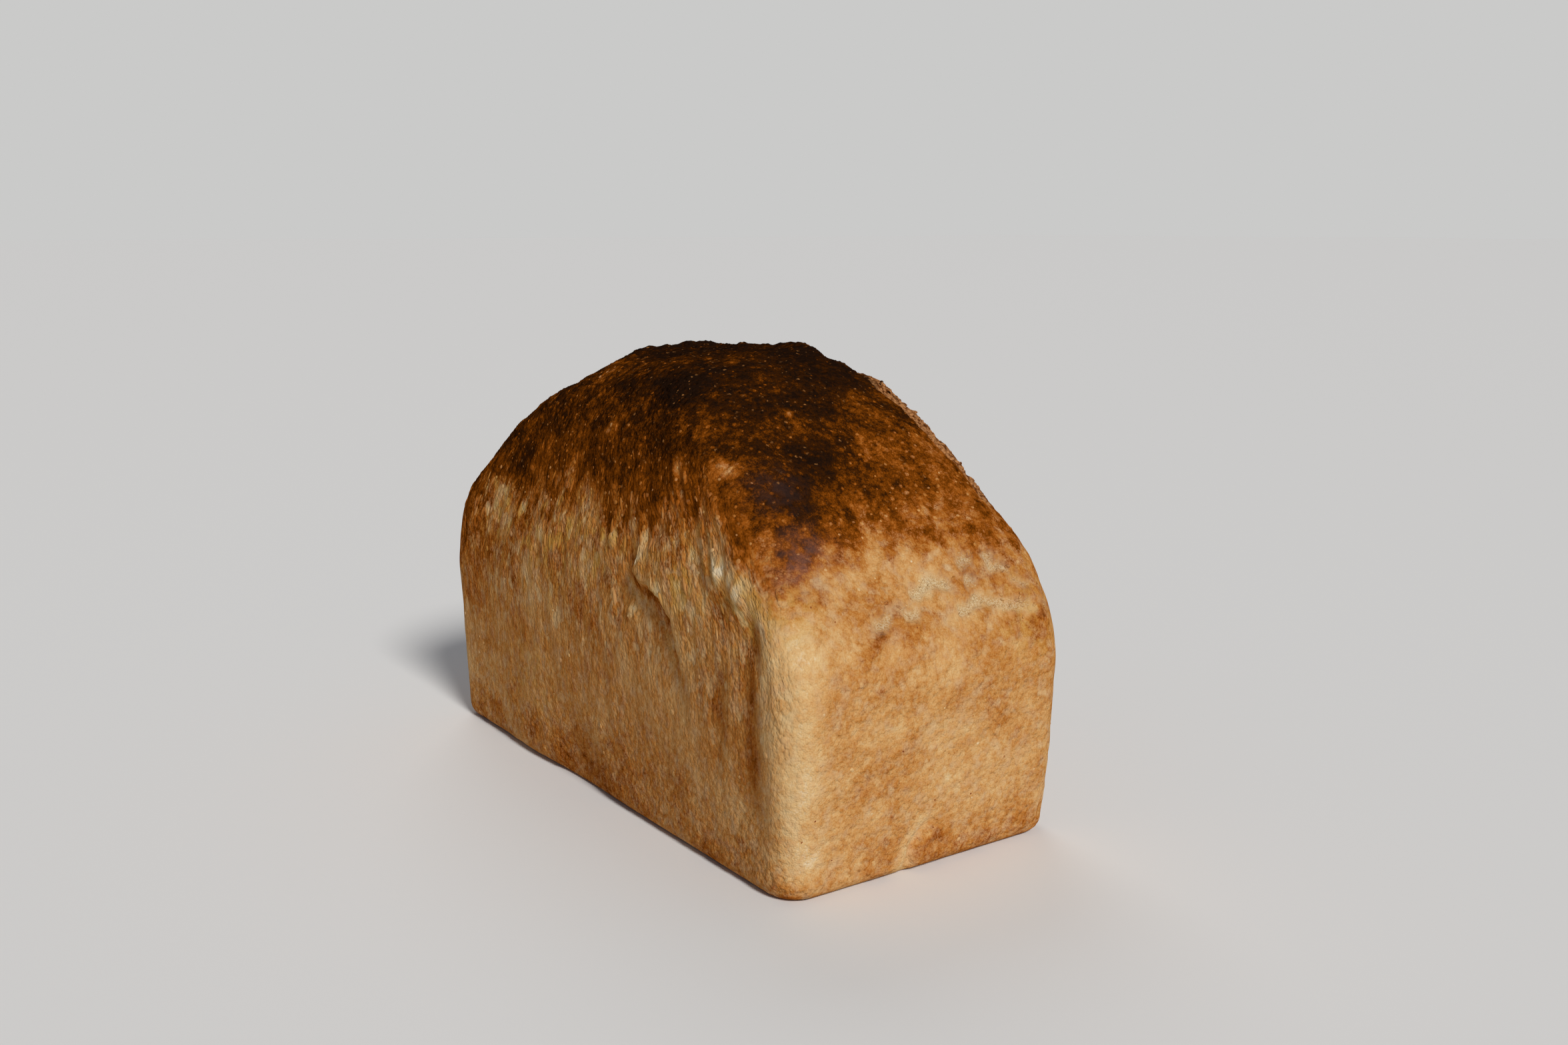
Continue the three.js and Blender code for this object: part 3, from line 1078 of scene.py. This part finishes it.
@dataclass(frozen=True)
class BakedCrust:
    """Baked bread crust: a thin dried skin of dough, blistered and browned by the oven.

    The eye gets cream, golden and orange patches a few millimetres wide, drawn out upwards where
    the dough rose, a beaded skin under them with painted shade in its creases and painted highlight
    on its tops, and dark amber mottles on the dome with paler specks, pale blister tops that also
    paint its glints, and a painted purple-grey sheen on its charred corner. It is so dry that
    nothing mirrors in it.
    """

    name: str = "baked_bread_crust"
    colours: tuple[tuple[float, str], ...] = (
        (0.00, "#E2CFAE"),
        (0.16, "#D6B07A"),
        (0.30, "#C9965B"),
        (0.43, "#B57637"),
        (0.56, "#9A5316"),
        (0.68, "#703806"),
        (0.82, "#3A1C05"),
        (1.00, "#20120A"),
    )
    waves: tuple[Wave, ...] = (
        Wave(Grain.FINE, 0.45, 0.0, 1.4),
        Wave(Grain.BEADS, 1.1, 0.0, 1.6, True),
        Wave(Grain.LUMPS, 2.0, 1.0, 1.6),
        Wave(Grain.MOTTLE, 3.6, 2.0, 1.7),
        Wave(Grain.CLOUD, 12.0, 2.0, 1.3),
    )
    bead_sharpness: float = 0.2
    swings: tuple[Swing, ...] = (
        Swing(Grain.FINE, 0.15, 0.23),
        # browns the beads' creases and pales their tops: painted shade and highlight along with their
        # bump
        Swing(Grain.BEADS, 0.06, 0.12),
        Swing(Grain.LUMPS, 0.20, 0.28),
        Swing(Grain.MOTTLE, 0.26, 0.44),
        Swing(Grain.CLOUD, 0.26, 0.36),
    )
    swing_from_pale_to_dark: tuple[float, float] = (0.10, 0.70)
    tints: tuple[Tint, ...] = (
        Tint("#BF9444", Grain.GOLD_CELLS, Fade(0.35, 0.75, 0.0, 0.75), Zone.GOLDEN),
        Tint("#D4B884", Grain.CREAM_CELLS, Fade(0.60, 0.90, 0.0, 0.34), Zone.DRAWN),
        Tint("#D8C094", Grain.CREAM_CELLS, Fade(0.55, 1.00, 0.0, 0.25)),
        Tint("#DCC49A", Grain.MOTTLE, Fade(0.50, 0.70, 0.0, 0.40)),
        Tint("#C4874F", Grain.ROSY_CELLS, Fade(0.60, 0.95, 0.0, 0.25)),
    )
    tints_by_shade: Fade = Fade(0.42, 0.62, 1.0, 0.0)
    cell_mm: float = 2.6
    cell_length: float = 1.8
    cell_smoothness: float = 0.6
    cell_stray_mm: float = 4.0
    cell_stray_size_mm: float = 3.5
    # pale blister tops, which also paint the crust's small glints
    blister_top: str = "#B87A40"
    blister_mm: float = 2.2
    blister_stray_mm: float = 2.0
    blister_stray_size_mm: float = 1.6
    blister_by_distance: Fade = Fade(0.10, 0.24, 1.0, 0.0)
    blister_by_chance: Fade = Fade(0.45, 0.80, 0.0, 0.62)
    blister_by_cloud: Fade = Fade(0.34, 0.54)
    blister_by_shade: Fade = Fade(0.42, 0.62, 0.5, 1.0)
    # a painted sheen on the charred corner
    purple_grey: str = "#7E5B52"
    haze_by_mottle: Fade = Fade(0.4, 0.6, 0.15, 0.65)
    torn_dark: str = "#A8855A"
    torn_light: str = "#CFBD98"
    torn_by_fine: Fade = Fade(0.35, 0.62)
    torn_share: float = 0.7
    crumb_dark: str = "#6A3B1A"
    crumb_light: str = "#B98150"
    crumb_by_beads: Fade = Fade(0.25, 0.75, 1.0, 0.0)
    crumb_by_bake: Fade = Fade(0.80, 0.94, 1.0, 0.05)
    crumb_edge: Fade = Fade(0.8, 1.15)
    fine_height_mm: float = 0.19
    bead_height_mm: tuple[float, float] = (0.15, 0.4)  # on still skin and on drawn skin
    lump_height_mm: float = 1.5
    lump_by_bake: Fade = Fade(0.10, 0.60, 0.22, 1.0)
    rough_by_shade: Fade = Fade(0.35, 0.85, 0.8, 0.55)

    def build(self) -> bpy.types.Material:
        """Builds the material.

        Returns:
            The material, which reads the crust's own attributes and Object coordinates.
        """
        material = bare_material(self.name)
        skin = CrustNodes(self, material.node_tree)
        finish = {
            "Base Color": skin.colour(),
            "Roughness": skin.add("ShaderNodeMapRange", self.rough_by_shade.after(skin.shade)),
            "Specular IOR Level": 0.0,
            "Normal": skin.relief(),
        }
        shader = skin.add("ShaderNodeBsdfPrincipled", finish)
        skin.add("ShaderNodeOutputMaterial", {"Surface": shader})
        return material


class CrustNodes:
    """The nodes of the baked crust: its zones, its patterns and what is made of them."""

    def __init__(self, look: BakedCrust, tree: bpy.types.NodeTree) -> None:
        """Reads the crust's zones and lays out the patterns of its skin.

        Args:
            look: The finish that the nodes give.
            tree: The material's tree, still empty.
        """
        self.look = look
        self.tree = tree
        self.add = partial(add_node, tree)
        self.read: dict[Enum, Any] = {}
        for zone in (Zone.BAKE, Zone.GOLDEN, Zone.HAZE, Zone.DRAWN, Zone.CRUMB, Zone.TORN, Zone.GRAIN):
            attribute = self.add("ShaderNodeAttribute", attribute_name=zone.value)
            self.read[zone] = attribute.outputs["Vector" if zone == Zone.GRAIN else "Fac"]
        self.place = self.add("ShaderNodeTexCoord").outputs["Object"]
        self.waves()
        self.cells()
        self.shade = self.varied_bake()

    def waves(self) -> None:
        """Lays out the waves of the skin, each of which runs from 0 to 1."""
        add, read = self.add, self.read
        for wave in self.look.waves:
            kind = "ShaderNodeTexVoronoi" if wave.beaded else "ShaderNodeTexNoise"
            size = {"Scale": per_mm(wave.size_mm), "Detail": wave.layers}
            squeeze = {0: read[Zone.GRAIN], 1: (1.0, 1.0, 1.0 / wave.length)}
            rising = add("ShaderNodeVectorMath", squeeze, operation="MULTIPLY")
            still = add(kind, {"Vector": self.place, **size})
            drawn = add(kind, {"Vector": rising, **size})
            mixed = add("ShaderNodeMix", {0: read[Zone.DRAWN], 2: still, 3: drawn}, data_type="FLOAT")
            if wave.beaded:
                rounded = {0: mixed, 1: mixed, 2: self.look.bead_sharpness}
                mixed = add("ShaderNodeMath", rounded, operation="MULTIPLY_ADD")
            read[wave.grain] = mixed

    def cells(self) -> None:
        """Lays out ragged cells, which give three patterns that don't match one another."""
        look, add, read = self.look, self.add, self.read
        stray = {"Vector": self.place, "Scale": per_mm(look.cell_stray_size_mm), "Detail": 1.0}
        stray = add("ShaderNodeTexNoise", stray).outputs["Color"]
        size = {"Scale": per_mm(look.cell_mm), "Smoothness": look.cell_smoothness}
        both = {0: read[Zone.DRAWN]}
        for key, start, length in ((6, self.place, 1.0), (7, read[Zone.GRAIN], look.cell_length)):
            moved = {0: stray, 1: (look.cell_stray_mm * MM,) * 3, 2: start}
            moved = add("ShaderNodeVectorMath", moved, operation="MULTIPLY_ADD")
            squeezed = {0: moved, 1: (1.0, 1.0, 1.0 / length)}
            squeezed = add("ShaderNodeVectorMath", squeezed, operation="MULTIPLY")
            cell = add("ShaderNodeTexVoronoi", {"Vector": squeezed, **size}, feature="SMOOTH_F1")
            both[key] = cell.outputs["Color"]
        mixed = add("ShaderNodeMix", both, data_type="RGBA")
        split = add("ShaderNodeSeparateColor", {"Color": mixed})
        read.update(zip((Grain.CREAM_CELLS, Grain.GOLD_CELLS, Grain.ROSY_CELLS), split.outputs))

    def varied_bake(self) -> Any:
        """Varies the browning by the skin's patterns.

        Returns:
            The node of the varied browning.
        """
        shade = bake = self.read[Zone.BAKE]
        for swing in self.look.swings:
            reach = Fade(*self.look.swing_from_pale_to_dark, swing.pale, swing.dark)
            reach = self.add("ShaderNodeMapRange", reach.after(bake))
            centred = {0: self.read[swing.grain], 1: 0.5}
            centred = self.add("ShaderNodeMath", centred, operation="SUBTRACT")
            varied = {0: centred, 1: reach, 2: shade}
            shade = self.add("ShaderNodeMath", varied, operation="MULTIPLY_ADD")
        return shade

    def colour(self) -> Any:
        """Lays the tints, painted glints and sheen, shreds and bare crumb over the browns.

        Returns:
            The node of the colour.
        """
        colour = self.add("ShaderNodeValToRGB", {"Fac": self.shade})
        stops = colour.color_ramp.elements
        while len(stops) < len(self.look.colours):
            stops.new(1.0)
        for stop, (position, brown) in zip(stops, self.look.colours):
            stop.position = position
            stop.color = linear(brown)
        layers = [*self.tints(), self.blisters(), self.haze(), self.torn(), self.crumb()]
        for (share, *factors), over in layers:
            for factor in factors:
                share = self.add("ShaderNodeMath", {0: share, 1: factor}, operation="MULTIPLY")
            mix = {0: share, 6: colour, 7: over}
            colour = self.add("ShaderNodeMix", mix, data_type="RGBA")
        return colour

    def tints(self) -> list[Layer]:
        """Tints the paler crust.

        Returns:
            A layer for each tint.
        """
        light = self.add("ShaderNodeMapRange", self.look.tints_by_shade.after(self.shade))
        layers = []
        for tint in self.look.tints:
            share = self.add("ShaderNodeMapRange", tint.share.after(self.read[tint.grain]))
            zone = [self.read[tint.zone]] if tint.zone else []
            layers.append(([share, light, *zone], linear(tint.colour)))
        return layers

    def blisters(self) -> Layer:
        """Scatters blisters half a millimetre across in clusters, pale thin tops that also paint
        glints.

        Returns:
            The layer of the blister tops and painted glints.
        """
        look, add = self.look, self.add
        stray = {"Vector": self.place, "Scale": per_mm(look.blister_stray_size_mm)}
        stray = add("ShaderNodeTexNoise", stray).outputs["Color"]
        moved = {0: stray, 1: (look.blister_stray_mm * MM,) * 3, 2: self.place}
        moved = add("ShaderNodeVectorMath", moved, operation="MULTIPLY_ADD")
        dots = add("ShaderNodeTexVoronoi", {"Vector": moved, "Scale": per_mm(look.blister_mm)})
        dark = add("ShaderNodeMapRange", look.blister_by_shade.after(self.shade))
        chance = add("ShaderNodeMapRange", look.blister_by_chance.after(dots.outputs["Color"]))
        clusters = look.blister_by_cloud._replace(end=dark).after(self.read[Grain.CLOUD])
        clusters = add("ShaderNodeMapRange", clusters)
        top = add("ShaderNodeMapRange", look.blister_by_distance.after(dots))
        return [top, chance, clusters], linear(look.blister_top)

    def haze(self) -> Layer:
        """Paints a mottled purple-grey sheen on the charred corner of the dome.

        Returns:
            The painted sheen's layer.
        """
        misty = self.look.haze_by_mottle.after(self.read[Grain.MOTTLE])
        misty = self.add("ShaderNodeMapRange", misty)
        return [misty, self.read[Zone.HAZE]], linear(self.look.purple_grey)

    def torn(self) -> Layer:
        """Bares the pale shreds of the torn crust.

        Returns:
            Their layer.
        """
        look, read = self.look, self.read
        rags = look.torn_by_fine.after(read[Grain.FINE])
        rags = two_tone(self.tree, rags, look.torn_dark, look.torn_light)
        return [read[Zone.TORN], look.torn_share], rags

    def crumb(self) -> Layer:
        """Bares the open crumb, whose edge breaks up along the skin's lumps.

        Returns:
            Its layer.
        """
        look, add, read = self.look, self.add, self.read
        pores = look.crumb_by_beads.after(read[Grain.BEADS])
        pores = two_tone(self.tree, pores, look.crumb_dark, look.crumb_light)
        bared = add("ShaderNodeMapRange", look.crumb_by_bake.after(read[Zone.BAKE]))
        edge = {0: bared, 1: read[Zone.CRUMB], 2: read[Grain.LUMPS]}
        edge = add("ShaderNodeMath", edge, operation="MULTIPLY_ADD")
        return [add("ShaderNodeMapRange", look.crumb_edge.after(edge))], pores

    def relief(self) -> bpy.types.Node:
        """Raises the skin's lumps and beads, which are too fine for the mesh.

        Returns:
            The node of the surface's direction.
        """
        look, add, read = self.look, self.add, self.read
        low, high, start, end = look.lump_by_bake
        reach = Fade(low, high, start * look.lump_height_mm, end * look.lump_height_mm)
        reach = add("ShaderNodeMapRange", reach.after(read[Zone.BAKE]))
        height = add("ShaderNodeMath", {0: read[Grain.LUMPS], 1: reach}, operation="MULTIPLY")
        still, drawn = look.bead_height_mm
        reach = add("ShaderNodeMapRange", Fade(0.0, 1.0, -still, -drawn).after(read[Zone.DRAWN]))
        for grain, reach in ((Grain.BEADS, reach), (Grain.FINE, look.fine_height_mm)):
            height = {0: read[grain], 1: reach, 2: height}
            height = add("ShaderNodeMath", height, operation="MULTIPLY_ADD")
        return add("ShaderNodeBump", {"Height": height, "Distance": MM})


@dataclass(frozen=True)
class WheatBran:
    """Wheat bran: dry flakes of husk in the dough, dull reddish brown and darker when baked."""

    name: str = "wheat_bran"
    dark: str = "#7A3C1A"
    light: str = "#B0703A"
    patch_mm: float = 1.2
    patch_share: Fade = Fade(0.35, 0.65)
    roughness: float = 0.8
    specular: float = 0.1

    def build(self) -> bpy.types.Material:
        """Builds the material.

        Returns:
            The material.
        """
        material = bare_material(self.name)
        add = partial(add_node, material.node_tree)
        place = add("ShaderNodeTexCoord").outputs["Object"]
        patches = {"Vector": place, "Scale": per_mm(self.patch_mm), "Detail": 1.0}
        share = self.patch_share.after(add("ShaderNodeTexNoise", patches))
        finish = {
            "Base Color": two_tone(material.node_tree, share, self.dark, self.light),
            "Roughness": self.roughness,
            "Specular IOR Level": self.specular,
        }
        shader = add("ShaderNodeBsdfPrincipled", finish)
        add("ShaderNodeOutputMaterial", {"Surface": shader})
        return material


# ---- Pieces -------------------------------------------------------------------------------


def in_scene(name: str, data: bpy.types.ID) -> bpy.types.Object:
    """Makes an object at the origin of the scene.

    Args:
        name: The object's name.
        data: Its mesh, camera or light.

    Returns:
        The object.
    """
    thing = bpy.data.objects.new(name, data)
    bpy.context.scene.collection.objects.link(thing)
    return thing


@dataclass(frozen=True)
class Crust:
    """The loaf's whole outer surface."""

    name: str = "loaf_crust"
    form: LoafForm = LoafForm()

    def build(self, finish: bpy.types.Material) -> bpy.types.Object:
        """Builds the crust and dresses it.

        Args:
            finish: The crust's material.

        Returns:
            The piece.
        """
        surface = self.form.surface()
        relief = CrustRelief(surface)
        points = surface.points + surface.normals * relief.height()[:, None]
        mesh = bpy.data.meshes.new(self.name)
        mesh.from_pydata((points * MM).tolist(), [], self.form.faces().tolist() + self.form.caps())
        mesh.validate()
        mesh.shade_smooth()
        for zone, values in self.zones(relief).items():
            kind, key = ("FLOAT", "value") if values.ndim == 1 else ("FLOAT_VECTOR", "vector")
            attribute = mesh.attributes.new(zone.value, kind, "POINT")
            attribute.data.foreach_set(key, values.astype(np.float32).ravel())
        mesh.materials.append(finish)
        return in_scene(self.name, mesh)

    def zones(self, relief: CrustRelief) -> dict[Zone, Array]:
        """Works out what the mesh stores at each point.

        Args:
            relief: The crust's relief.

        Returns:
            The values of each zone.
        """
        s = relief.surface
        z, crumb, browning = s.z, relief.crumb(), Browning(relief)
        side = ramp(np.abs(s.front), 0.5, 0.8)
        end = ramp(np.abs(s.end), 0.5, 0.8)
        bake = browning.bake()
        skin = (1 - crumb) * ramp(z, 3, 6)
        gathered = ramp(s.noises((1, 13, 131)), -0.3, 0.4)
        return {
            Zone.BAKE: bake,
            Zone.GOLDEN: browning.tint(GOLDEN),
            Zone.HAZE: browning.tint(SHEEN_SPOTS),
            Zone.DRAWN: relief.drawn(),
            Zone.CRUMB: crumb,
            Zone.TORN: relief.torn(),
            Zone.GRAIN: s.grain * MM,
            Zone.RISE: s.rise,
            Zone.RIDGED: skin * side * gathered * band(z, 66, 80, 108, 126),
            Zone.BLISTERED: skin * (0.04 + ramp(z, 80, 104)),
            Zone.GRAINY: (1 - crumb) * ramp(bake, 0.74, 0.88) * ramp(z, 96, 120),
            Zone.OPEN: ramp(crumb, 0.75, 1) * (1 - ramp(bake, 0.8, 0.9)),
            Zone.BRANNY: skin * (end + 0.25 * side) * (1 - ramp(z, 76, 90)),
        }


CM2_PER_M2 = 10000.0
SOCKET_KINDS = {str: "String", float: "Float", int: "Int", tuple: "Vector"}


@dataclass(frozen=True)
class Sprinkle:
    """Small closed grains set part-way into the crust, made by a Geometry Nodes tree.

    Its sizes are in millimetres. A grain's size is half its width, half its length, which lies
    the way the skin rose, and its height above its own middle.
    """

    name: str
    zone: Zone
    spacing: float
    per_cm2: float
    size: tuple[float, float, float]
    vary: float
    sunk: float
    tilt: float
    turn: float
    browner: tuple[float, float]
    segments: int
    rings: int
    seed: int

    def inputs(self, finish: bpy.types.Material) -> dict[str, Any]:
        """Works out what goes into the tree.

        Args:
            finish: The grains' material.

        Returns:
            The value of each of the tree's named inputs.
        """
        return {
            "Zone": self.zone.value,
            "Spacing": self.spacing * MM,
            "Density": self.per_cm2 * CM2_PER_M2,
            "Size": tuple(side * MM for side in self.size),
            "Smallest": 1.0 - self.vary,
            "Largest": 1.0 + self.vary,
            "Sunk": -self.sunk * self.size[2] * MM,
            "Tilt": (self.tilt, self.tilt, self.turn),
            "Least Browning": self.browner[0],
            "Most Browning": self.browner[1],
            "Segments": self.segments,
            "Rings": self.rings,
            "Seed": self.seed,
            "Finish": finish,
        }

    def tree(self, finish: bpy.types.Material) -> bpy.types.NodeTree:
        """Builds the tree.

        Args:
            finish: The grains' material.

        Returns:
            The tree, which turns the crust's mesh into the grains alone.
        """
        tree = bpy.data.node_groups.new(self.name, "GeometryNodeTree")
        kinds = {key: SOCKET_KINDS.get(type(v), "Material") for key, v in self.inputs(finish).items()}
        for label, kind in {"Crust": "Geometry", **kinds}.items():
            tree.interface.new_socket(label, in_out="INPUT", socket_type=f"NodeSocket{kind}")
        tree.interface.new_socket("Grains", in_out="OUTPUT", socket_type="NodeSocketGeometry")
        add = partial(add_node, tree)
        given = add("NodeGroupInput").outputs
        share, bake, rise = (
            add("GeometryNodeInputNamedAttribute", {"Name": name}, data_type=kind)
            for name, kind in (
                (given["Zone"], "FLOAT"),
                (Zone.BAKE.value, "FLOAT"),
                (Zone.RISE.value, "FLOAT_VECTOR"),
            )
        )
        chance, browner = (
            add(
                "FunctionNodeRandomValue",
                {2: given[least], 3: given[most], "Seed": given["Seed"]},
                data_type="FLOAT",
            )
            for least, most in (("Smallest", "Largest"), ("Least Browning", "Most Browning"))
        )
        spots = {"Mesh": given["Crust"], "Distance Min": given["Spacing"], "Seed": given["Seed"]}
        spots |= {"Density Max": given["Density"], "Density Factor": share}
        spots = add("GeometryNodeDistributePointsOnFaces", spots, distribute_method="POISSON")
        spots = spots.outputs

        scale = {0: given["Size"], "Scale": chance}
        scale = add("ShaderNodeVectorMath", scale, operation="SCALE")
        depth = add("ShaderNodeMath", {0: given["Sunk"], 1: chance}, operation="MULTIPLY")
        inward = {0: spots["Normal"], "Scale": depth}
        inward = add("ShaderNodeVectorMath", inward, operation="SCALE")
        sunk = add("GeometryNodeSetPosition", {"Geometry": spots["Points"], "Offset": inward})

        bake = add("ShaderNodeMath", {0: bake, 1: browner}, operation="ADD")
        baked = {"Geometry": sunk, "Name": Zone.BAKE.value, "Value": bake}
        baked = add("GeometryNodeStoreNamedAttribute", baked, data_type="FLOAT")

        upright = {"Rotation": spots["Rotation"], "Vector": rise}
        upright = add("FunctionNodeAlignRotationToVector", upright, axis="Y", pivot_axis="Z")
        back = {0: given["Tilt"], "Scale": -1.0}
        back = add("ShaderNodeVectorMath", back, operation="SCALE")
        lean = {0: back, 1: given["Tilt"], "Seed": given["Seed"]}
        lean = add("FunctionNodeRandomValue", lean, data_type="FLOAT_VECTOR")
        lean = add("FunctionNodeEulerToRotation", {0: lean})
        turned = {"Rotation": upright, "Rotate By": lean}
        turned = add("FunctionNodeRotateRotation", turned, rotation_space="LOCAL")

        grain = {"Segments": given["Segments"], "Rings": given["Rings"], "Radius": 1.0}
        grain = add("GeometryNodeSetShadeSmooth", {0: add("GeometryNodeMeshUVSphere", grain)})
        placed = {"Points": baked, "Instance": grain, "Rotation": turned, "Scale": scale}
        placed = add("GeometryNodeInstanceOnPoints", placed)
        real = add("GeometryNodeRealizeInstances", {"Geometry": placed})
        dressed = add("GeometryNodeSetMaterial", {"Geometry": real, "Material": given["Finish"]})
        add("NodeGroupOutput", {0: dressed})
        return tree

    def build(self, crust: bpy.types.Object, finish: bpy.types.Material) -> bpy.types.Object:
        """Grows the grains on the crust and makes them a plain mesh.

        Args:
            crust: The crust, which stays as it is.
            finish: The grains' material.

        Returns:
            The piece.
        """
        modifier = crust.modifiers.new(self.name, "NODES")
        modifier.node_group = self.tree(finish)
        values = self.inputs(finish)
        for socket in modifier.node_group.interface.items_tree:
            if socket.in_out == "INPUT" and socket.name in values:
                modifier[socket.identifier] = values[socket.name]
        depsgraph = bpy.context.evaluated_depsgraph_get()
        grown = crust.evaluated_get(depsgraph)
        mesh = bpy.data.meshes.new_from_object(
            grown, preserve_all_data_layers=True, depsgraph=depsgraph
        )
        crust.modifiers.remove(modifier)
        mesh.name = self.name
        return in_scene(self.name, mesh)


@dataclass(frozen=True)
class Loaf:
    """The loaf: its crust, and the blisters, bran and crumb that stand out from it."""

    crust: Crust = Crust()
    crust_finish: BakedCrust = BakedCrust()
    bran_finish: WheatBran = WheatBran()
    # In the order of Sprinkle's fields.
    crust_grains: tuple[Sprinkle, ...] = (
        Sprinkle(
            "drawn_ridges", Zone.RIDGED, 2.2, 6.0, (0.6, 2.4, 0.55), 0.55, 0.6, 0.03, 0.25,
            (-0.15, 0.02), 8, 6, 11,
        ),
        Sprinkle(
            "steam_blisters", Zone.BLISTERED, 2.4, 7.0, (0.9, 1.1, 0.55), 0.6, 0.65, 0.03, 3.1,
            (-0.24, 0.02), 9, 6, 23,
        ),
        Sprinkle(
            "char_grains", Zone.GRAINY, 1.2, 16.0, (0.45, 0.55, 0.36), 0.5, 0.5, 0.2, 3.1,
            (-0.06, 0.06), 6, 5, 37,
        ),
        Sprinkle(
            "crumb_strands", Zone.OPEN, 1.2, 40.0, (0.4, 1.3, 0.45), 0.5, 0.45, 0.35, 3.1,
            (-0.1, 0.1), 6, 5, 41,
        ),
        Sprinkle(
            "torn_rags", Zone.TORN, 1.2, 40.0, (0.8, 0.45, 0.5), 0.5, 0.4, 0.5, 0.6,
            (-0.2, 0.05), 6, 5, 43,
        ),
    )
    bran: Sprinkle = Sprinkle(
        "bran_flecks", Zone.BRANNY, 4.0, 0.7, (0.2, 0.3, 0.12), 0.5, 0.4, 0.1, 3.1,
        (0.0, 0.0), 8, 4, 53,
    )

    def build(self) -> list[bpy.types.Object]:
        """Builds the pieces, hides the solid's loaf and hangs each piece on the loaf's body.

        Returns:
            The pieces.
        """
        finish = self.crust_finish.build()
        crust = self.crust.build(finish)
        pieces = [crust] + [sprinkle.build(crust, finish) for sprinkle in self.crust_grains]
        pieces.append(self.bran.build(crust, self.bran_finish.build()))
        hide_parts(NODE)
        for piece in pieces:
            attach(piece, BODY)
        return pieces


# ---- Studio -------------------------------------------------------------------------------


class Lamp(NamedTuple):
    """A soft light: where it is from the loaf, how wide it looks and how strong it is."""

    name: str
    azimuth: float
    elevation: float
    spread: float  # degrees: wider is softer
    strength: float  # watts on each square metre


@dataclass(frozen=True)
class Studio:
    """A plain pale floor, soft lights and the camera, in metres and degrees."""

    azimuth: float = 54.88
    elevation: float = 11.05
    distance: float = 0.5076
    target_right: float = 0.01984
    target_up: float = 0.08408
    lens_mm: float = 35.0
    sensor_mm: float = 36.0
    lamps: tuple[Lamp, ...] = (
        Lamp("key_light", 81, 38, 14, 2.7),
        Lamp("rim_light", 245, 42, 30, 0.5),
    )
    floor_size: float = 40.0
    floor_colour: str = "#E6E3DE"
    floor_roughness: float = 0.9
    floor_specular: float = 0.1
    world_colour: str = "#D9E3F6"
    world_strength: float = 0.185
    backdrop_colour: str = "#CACAC9"

    def direction(self, azimuth: float, elevation: float) -> Vector:
        """Returns the direction from the loaf at an azimuth, counted from -Y, and elevation."""
        a, e = math.radians(azimuth), math.radians(elevation)
        return Vector((math.sin(a) * math.cos(e), -math.cos(a) * math.cos(e), math.sin(e)))

    def camera(self) -> None:
        """Places the camera and makes it the scene's own."""
        back = self.direction(self.azimuth, self.elevation)
        right = self.direction(self.azimuth + 90, 0)
        data = bpy.data.cameras.new("camera")
        data.lens = self.lens_mm
        data.sensor_width = self.sensor_mm
        data.sensor_fit = "HORIZONTAL"
        camera = in_scene("camera", data)
        target = right * self.target_right + Vector((0.0, 0.0, self.target_up))
        turn = Matrix((right, back.cross(right), back)).transposed().to_4x4()
        camera.matrix_world = Matrix.Translation(target + back * self.distance) @ turn
        bpy.context.scene.camera = camera

    def light(self, lamp: Lamp) -> None:
        """Hangs a light so far off that it falls evenly on the loaf and the floor.

        Args:
            lamp: The light.
        """
        data = bpy.data.lights.new(lamp.name, "SUN")
        data.energy = lamp.strength
        data.angle = math.radians(lamp.spread)
        toward = self.direction(lamp.azimuth, lamp.elevation).to_track_quat("Z", "Y")
        in_scene(lamp.name, data).rotation_euler = toward.to_euler()

    def floor(self) -> None:
        """Lays the floor."""
        half = self.floor_size / 2
        corners = [(-half, -half, 0), (half, -half, 0), (half, half, 0), (-half, half, 0)]
        mesh = bpy.data.meshes.new("floor")
        mesh.from_pydata(corners, [], [(0, 1, 2, 3)])
        material = bare_material("painted_board")
        finish = {
            "Base Color": linear(self.floor_colour),
            "Roughness": self.floor_roughness,
            "Specular IOR Level": self.floor_specular,
        }
        shader = add_node(material.node_tree, "ShaderNodeBsdfPrincipled", finish)
        add_node(material.node_tree, "ShaderNodeOutputMaterial", {"Surface": shader})
        mesh.materials.append(material)
        in_scene("floor", mesh)

    def world(self) -> None:
        """Sets the dim even light from all round, and the pale backdrop past the floor's end."""
        world = bpy.data.worlds.new("studio")
        world.use_nodes = True
        world.node_tree.nodes.clear()
        add = partial(add_node, world.node_tree)
        light = {"Color": linear(self.world_colour), "Strength": self.world_strength}
        light = add("ShaderNodeBackground", light)
        seen = add("ShaderNodeBackground", {"Color": linear(self.backdrop_colour)})
        path = add("ShaderNodeLightPath").outputs["Is Camera Ray"]
        both = add("ShaderNodeMixShader", {0: path, 1: light, 2: seen})
        add("ShaderNodeOutputWorld", {"Surface": both})
        bpy.context.scene.world = world
        bpy.context.scene.view_settings.view_transform = "Standard"

    def build(self) -> None:
        """Builds the studio."""
        self.camera()
        self.floor()
        self.world()
        for lamp in self.lamps:
            self.light(lamp)


def main() -> None:
    """Builds the loaf and its studio and reports each piece."""
    Studio().build()
    for piece in Loaf().build():
        LOG.info("%s: %d faces", piece.name, len(piece.data.polygons))


if __name__ == "__main__":
    main()
